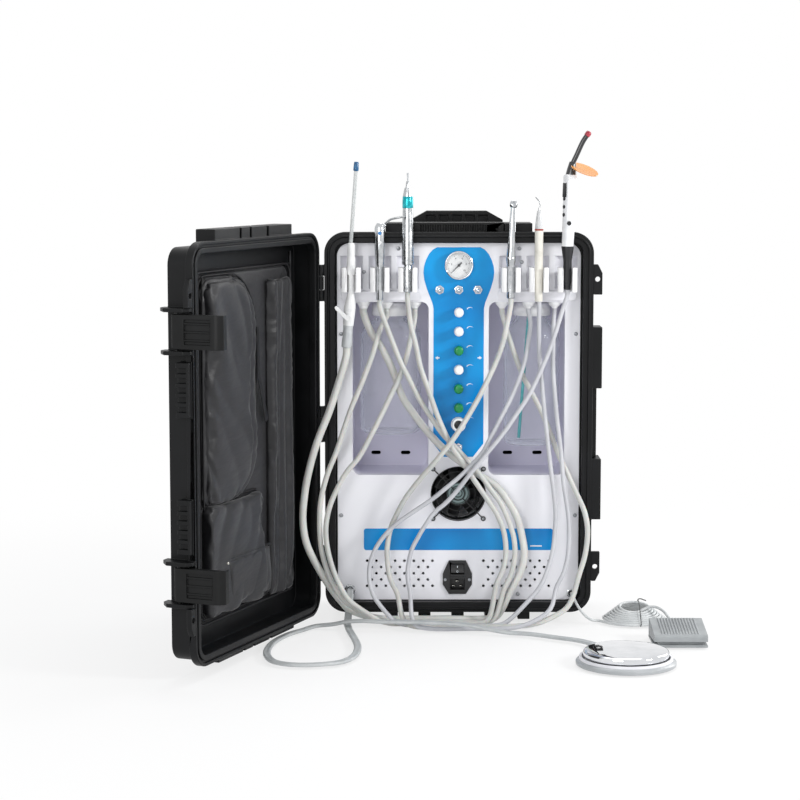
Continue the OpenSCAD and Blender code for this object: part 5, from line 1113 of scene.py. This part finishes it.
pedal_grey = finish("grey_abs", "#8e9294", "#a5a9aa", (0.42, 0.54), 40, 1.0, 0.03)
dress("box_pedal_base", pedal_grey, 0.5)
dress("box_pedal_top", pedal_grey, 0.6)

# The wire tie of the hank: black plastic round a wire, wound once round the turns and twisted.
TIE_LOOP = [
    (296, -136.5, 1.5), (296.5, -138.6, 4.0), (297, -136, 7.6), (297.5, -124, 12.9), (298, -112, 18.0),
    (298.4, -102, 22.6), (298.6, -88, 28.6), (298.6, -76, 31.0), (298.6, -68, 31.4), (298.6, -62.5, 27.5),
    (298.4, -55, 19.5), (298, -47, 11), (297.5, -43.4, 5.4), (297, -46, 1.6), (296, -60, 1.1),
    (296, -90, 1.1), (296, -120, 1.1), (296, -136.5, 1.5)]
tie = round_tube("hank_tie", spline_through(TIE_LOOP, 4), 0.7)
twist = round_tube("hank_tie_end", spline_through([
    (298.6, -68, 31.6), (301, -66, 32.4), (305, -63, 31.6), (309, -60.5, 29.6), (313, -60, 28.2)], 6), 0.9)
for loop in (tie, twist):
    settle(loop, "base", wire_black, "fan_black")

# ---- Lid organiser ----
# A zipped organiser of black coated nylon, cut, sewn and lightly padded, is fixed in the lid. Its
# pockets are swollen with Cloth; the edge binding, the zip pull, the strap and the studs come after.

HINGE = Vector((-223, -95, 0)) * MM
LID_OPEN = (Matrix.Translation(HINGE) @ Matrix.Rotation(math.radians(-112.6), 4, "Z")
            @ Matrix.Translation(-HINGE))


def cut(low_t, low_z, high_t, high_z, hinge_r, far_r):
    """The outline of a rectangle of cloth in mm: t runs from the hinge, z up from the floor. The two
    corners on the hinge's side have one radius and the two far ones another."""
    points = []
    for t, z, r, start in ((low_t + hinge_r, low_z + hinge_r, hinge_r, 180),
                           (high_t - far_r, low_z + far_r, far_r, 270),
                           (high_t - far_r, high_z - far_r, far_r, 0),
                           (low_t + hinge_r, high_z - hinge_r, hinge_r, 90)):
        for k in range(9):
            a = math.radians(start + 90 * k / 8)
            points.append((t + r * math.cos(a), z + r * math.sin(a)))
    return points


def plate(name, outline, back, front):
    """A closed plate cut to an outline, on the closed lid, from back to front in Y."""
    n = len(outline)
    mesh = bpy.data.meshes.new(name)
    mesh.from_pydata([Vector((t - 223, y, z)) * MM for y in (back, front) for t, z in outline], [],
                     [(k, (k + 1) % n, n + (k + 1) % n, n + k) for k in range(n)]
                     + [tuple(reversed(range(n))), tuple(range(n, 2 * n))])
    made = bpy.data.objects.new(name, mesh)
    bpy.context.scene.collection.objects.link(made)
    select_only(made)
    bpy.ops.object.mode_set(mode="EDIT")
    bpy.ops.mesh.select_all(action="SELECT")
    bpy.ops.mesh.normals_make_consistent(inside=False)
    bpy.ops.object.mode_set(mode="OBJECT")
    return made


def swollen(piece, back, front, folds, depth, slant, slack, most):
    """Makes a plate into a sewn pocket. Folds of that length and width in mm, depth mm deep and
    leaning by slant degrees, are laid in its front, then Cloth blows it up with its back sewn down.
    The cloth is cut larger by slack, and no point moves further than most mm."""
    select_only(piece)
    even = piece.modifiers.new("even_mesh", "REMESH")
    even.mode = "VOXEL"
    even.voxel_size = 4.5 * MM
    bpy.ops.object.modifier_apply(modifier=even.name)
    soft = piece.modifiers.new("soft_edges", "SMOOTH")
    soft.factor = 0.5
    soft.iterations = 5
    bpy.ops.object.modifier_apply(modifier=soft.name)
    lean = math.radians(slant)
    for vertex in piece.data.vertices:
        share = (vertex.co.y / MM - back - 3) / (front - back - 3)
        if share > 0:
            across = (vertex.co.x * math.cos(lean) + vertex.co.z * math.sin(lean)) / (folds[1] * MM)
            along = (vertex.co.z * math.cos(lean) - vertex.co.x * math.sin(lean)) / (folds[0] * MM)
            ridge = 1 - 2 * abs(noise.noise(Vector((across, along, back))))
            vertex.co.y += min(share, 1) * depth * MM * (1 - ridge)
    was = [vertex.co.copy() for vertex in piece.data.vertices]
    sewn = piece.vertex_groups.new(name="sewn")
    sewn.add([v.index for v in piece.data.vertices if v.co.y < (back + 2.6) * MM], 1.0, "REPLACE")
    cloth = piece.modifiers.new("cloth", "CLOTH")
    cloth.settings.quality = 5
    cloth.settings.mass = 0.25
    cloth.settings.tension_stiffness = 12
    cloth.settings.compression_stiffness = 12
    cloth.settings.bending_stiffness = 0.35
    cloth.settings.use_pressure = True
    cloth.settings.uniform_pressure_force = 4.0
    cloth.settings.shrink_min = -slack
    cloth.settings.vertex_group_mass = "sewn"
    cloth.settings.effector_weights.gravity = 0
    cloth.point_cache.frame_start = 1
    cloth.point_cache.frame_end = 20
    for step in range(1, 21):
        bpy.context.scene.frame_set(step)
    bpy.ops.object.modifier_apply(modifier=cloth.name)
    bpy.context.scene.frame_set(1)
    for vertex, place in zip(piece.data.vertices, was):
        move = vertex.co - place
        if move.length > most * MM:
            vertex.co = place + move.normalized() * most * MM
    finer = piece.modifiers.new("finer", "SUBSURF")
    finer.levels = finer.render_levels = 1
    bpy.ops.object.modifier_apply(modifier=finer.name)
    bpy.ops.object.shade_smooth()
    return piece


# Coated nylon: black with a satin grey sheen, a fine weave, and soft creases from being packed.
nylon_cloth, tree, shader, place = surface("coated_nylon", 0.46, Sheen_Weight=0.25, Sheen_Roughness=0.4,
                                           Specular_IOR_Level=0.4)
drift = add(tree, "ShaderNodeTexNoise", {}, {"Vector": place, "Scale": 14.0, "Detail": 4.0})
tone = add(tree, "ShaderNodeMix", {"data_type": "RGBA"}, {
    "Factor": drift.outputs["Fac"], "A": linear("#09090b"), "B": linear("#1f1f23")})
tree.links.new(tone.outputs["Result"], shader.inputs["Base Color"])
creased = add(tree, "ShaderNodeMapping", {}, {
    "Vector": place, "Rotation": (0.0, math.radians(32), math.radians(-22.6)), "Scale": (9.0, 9.0, 26.0)})
crease = add(tree, "ShaderNodeTexNoise", {}, {"Vector": creased.outputs["Vector"], "Scale": 1.0, "Detail": 5.0})
weave = add(tree, "ShaderNodeTexNoise", {}, {"Vector": place, "Scale": 900.0, "Detail": 1.0})
folded = add(tree, "ShaderNodeBump", {}, {"Height": crease.outputs["Fac"], "Distance": 5 * MM, "Strength": 0.8})
woven = add(tree, "ShaderNodeBump", {}, {
    "Height": weave.outputs["Fac"], "Distance": 0.04 * MM, "Normal": folded.outputs["Normal"]})
tree.links.new(woven.outputs["Normal"], shader.inputs["Normal"])
# Binding tape: tightly woven, a little blacker.
tape = finish("binding_tape", "#0d0d0f", "#1b1b1e", (0.5, 0.62), 20, 0.7, 0.06, Specular_IOR_Level=0.35)

# Name, outline, back, front, folds, fold depth, slant, slack, most.
POCKETS = (
    ("pouch_back", cut(52, 65, 377, 591, 20, 20), -135.6, -126.5, (400, 120), 0.6, 5, 0.0, 1.5),
    ("pouch_gusset", cut(184, 238, 372, 586, 92, 20), -125.5, -118.5, (160, 70), 1.5, 30, 0.02, 2.0),
    ("pouch_upper", cut(217, 246, 366, 579, 74, 20), -121.5, -112.5, (240, 55), 4.5, -28, 0.05, 4.0),
    ("pouch_side", cut(58, 68, 150, 573, 16, 10), -125.5, -117.5, (420, 22), 6.0, 2, 0.04, 3.0),
    ("pouch_lower", cut(180, 74, 370, 246, 18, 18), -125.5, -112.5, (150, 60), 4.0, 35, 0.05, 4.0),
    ("pouch_flap", cut(162, 82, 308, 156, 6, 6), -116.5, -107.5, (160, 90), 1.5, 10, 0.02, 2.0))
for name, outline, back, front, folds, depth, slant, slack, most in POCKETS:
    pad = swollen(plate(name, outline, back, front), back, front, folds, depth, slant, slack, most)
    pad.data.transform(LID_OPEN)
    settle(pad, "lid", nylon_cloth, "pouch_black")
    if name == "pouch_back":
        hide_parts("lid_pouch")


def on_lid(points):
    """A line through points (t, y, z) in mm on the closed lid, in metres at the open lid's place."""
    return [LID_OPEN @ place for place in spline_through([(t - 223, y, z) for t, y, z in points], 3)]


# Binding round the back and the pockets' seams.
for name, outline, y, radius in (
        ("binding_back", cut(51, 64, 378, 592, 20, 20), -127.0, 2.2),
        ("binding_gusset", cut(183, 237, 373, 587, 92, 20), -123.0, 1.7),
        ("binding_upper", cut(215, 244, 368, 581, 75, 20), -118.5, 1.6),
        ("binding_lower", cut(179, 73, 371, 247, 18, 18), -123.0, 1.7),
        ("binding_flap", cut(161, 81, 309, 157, 6, 6), -113.5, 1.3)):
    seam = round_tube(name, on_lid([(t, y, z) for t, z in outline + outline[:1]]), radius)
    settle(seam, "lid", tape, "pouch_black")

# The flap pocket's pale piping, the strap's end, the zip's pull and two studs.
piping = round_tube("flap_piping", on_lid([(163, -107.0, 100), (162.5, -106.8, 154), (168, -106.4, 157.6), (235, -105.2, 158), (306, -106.4, 157.6)]), 0.45)
settle(piping, "lid", foam_rubber, "pouch_black")

strap = plate("strap_end", [(150, 352), (160, 348), (186, 420), (188, 500), (182, 500), (178, 424)], -119.0, -117.6)
rounded(strap, 0.4, angle=40)
strap.data.transform(LID_OPEN)
settle(strap, "lid", tape, "pouch_black")
pull = block("zip_pull", ((38.5 - 223), -131.5, 528), ((41.5 - 223), -130, 566), 0.6)
pull.data.transform(LID_OPEN)
settle(pull, "lid", nickel, "pouch_black")
for t, y, z in ((303, -110.5, 533), (314, -106.6, 152)):
    stud = turned("pouch_stud", [(-2.5, 2.2), (0.6, 2.2), (1.3, 1.6), (1.6, 0.6)], (t - 223, y, z), (0, 1, 0),
                  sides=20, angle=50)
    stud.data.transform(LID_OPEN)
    settle(stud, "lid", nickel, "pouch_black")

# ---- Studio ----
# A pale floor that keeps a soft shadow and a white surround; soft boxes light the black case's edges
# and the white panel at a plain level.

bpy.ops.object.select_all(action="DESELECT")
bpy.ops.mesh.primitive_plane_add(size=14, location=(0, 3.0, -0.0028))
floor = bpy.context.object
floor.name = "floor"
paper = bpy.data.materials.new("backdrop_paper")
paper.use_nodes = True
tree = paper.node_tree
tree.nodes.clear()
matt = add(tree, "ShaderNodeBsdfDiffuse", {}, {"Color": linear("#f2f2f2")})
glow = add(tree, "ShaderNodeEmission", {}, {"Color": (1.0, 1.0, 1.0, 1.0), "Strength": 1.0})
path = add(tree, "ShaderNodeLightPath", {}, {})
seen = add(tree, "ShaderNodeMath", {"operation": "MAXIMUM"}, {
    0: path.outputs["Is Camera Ray"], 1: path.outputs["Is Glossy Ray"]})
spot = add(tree, "ShaderNodeTexCoord", {}, {})
near = add(tree, "ShaderNodeVectorMath", {"operation": "DISTANCE"}, {
    0: spot.outputs["Object"], 1: (0.0, -3.1, 0.0)})
fade = add(tree, "ShaderNodeMapRange", {"interpolation_type": "SMOOTHSTEP"}, {
    "Value": near.outputs["Value"], "From Min": 0.35, "From Max": 1.5, "To Min": 0.72, "To Max": 1.0})
share = add(tree, "ShaderNodeMath", {"operation": "MULTIPLY"}, {
    0: seen.outputs[0], 1: fade.outputs["Result"]})
both = add(tree, "ShaderNodeMixShader", {}, {
    0: share.outputs[0], 1: matt.outputs[0], 2: glow.outputs[0]})
add(tree, "ShaderNodeOutputMaterial", {}, {"Surface": both.outputs[0]})
floor.data.materials.append(paper)

world = bpy.data.worlds.new("studio")
bpy.context.scene.world = world
world.use_nodes = True
tree = world.node_tree
tree.nodes.clear()
soft = add(tree, "ShaderNodeBackground", {}, {"Color": linear("#f4f5f8"), "Strength": 0.52})
white = add(tree, "ShaderNodeBackground", {}, {"Color": (1.0, 1.0, 1.0, 1.0), "Strength": 1.0})
path = add(tree, "ShaderNodeLightPath", {}, {})
clear = add(tree, "ShaderNodeMath", {"operation": "MAXIMUM"}, {
    0: path.outputs["Is Camera Ray"], 1: path.outputs["Is Transmission Ray"]})
seen = add(tree, "ShaderNodeMath", {"operation": "MAXIMUM"}, {
    0: clear.outputs[0], 1: path.outputs["Is Glossy Ray"]})
both = add(tree, "ShaderNodeMixShader", {}, {0: seen.outputs[0], 1: soft.outputs[0], 2: white.outputs[0]})
add(tree, "ShaderNodeOutputWorld", {}, {"Surface": both.outputs[0]})
bpy.context.scene.view_settings.view_transform = "Standard"

# Name, place, aim, width, height and watts of each soft box.
for name, place, aim, width, height, watts in (
        ("key_box", (2.2, -1.35, 1.35), (0, 0, 0.35), 0.5, 0.5, 37),
        ("fill_box", (-1.1, -2.9, 1.1), (0, 0, 0.3), 1.4, 1.4, 26),
        ("top_box", (0.1, 0.5, 2.4), (0, 0, 0.3), 1.6, 1.0, 24),
        ("rim_box", (1.9, 1.2, 1.2), (0.1, 0, 0.3), 0.8, 1.4, 16)):
    lamp = bpy.data.lights.new(name, "AREA")
    lamp.shape = "RECTANGLE"
    lamp.size, lamp.size_y, lamp.energy = width, height, watts
    box = bpy.data.objects.new(name, lamp)
    bpy.context.scene.collection.objects.link(box)
    box.location = place
    box.rotation_euler = (Vector(aim) - Vector(place)).to_track_quat("-Z", "Y").to_euler()
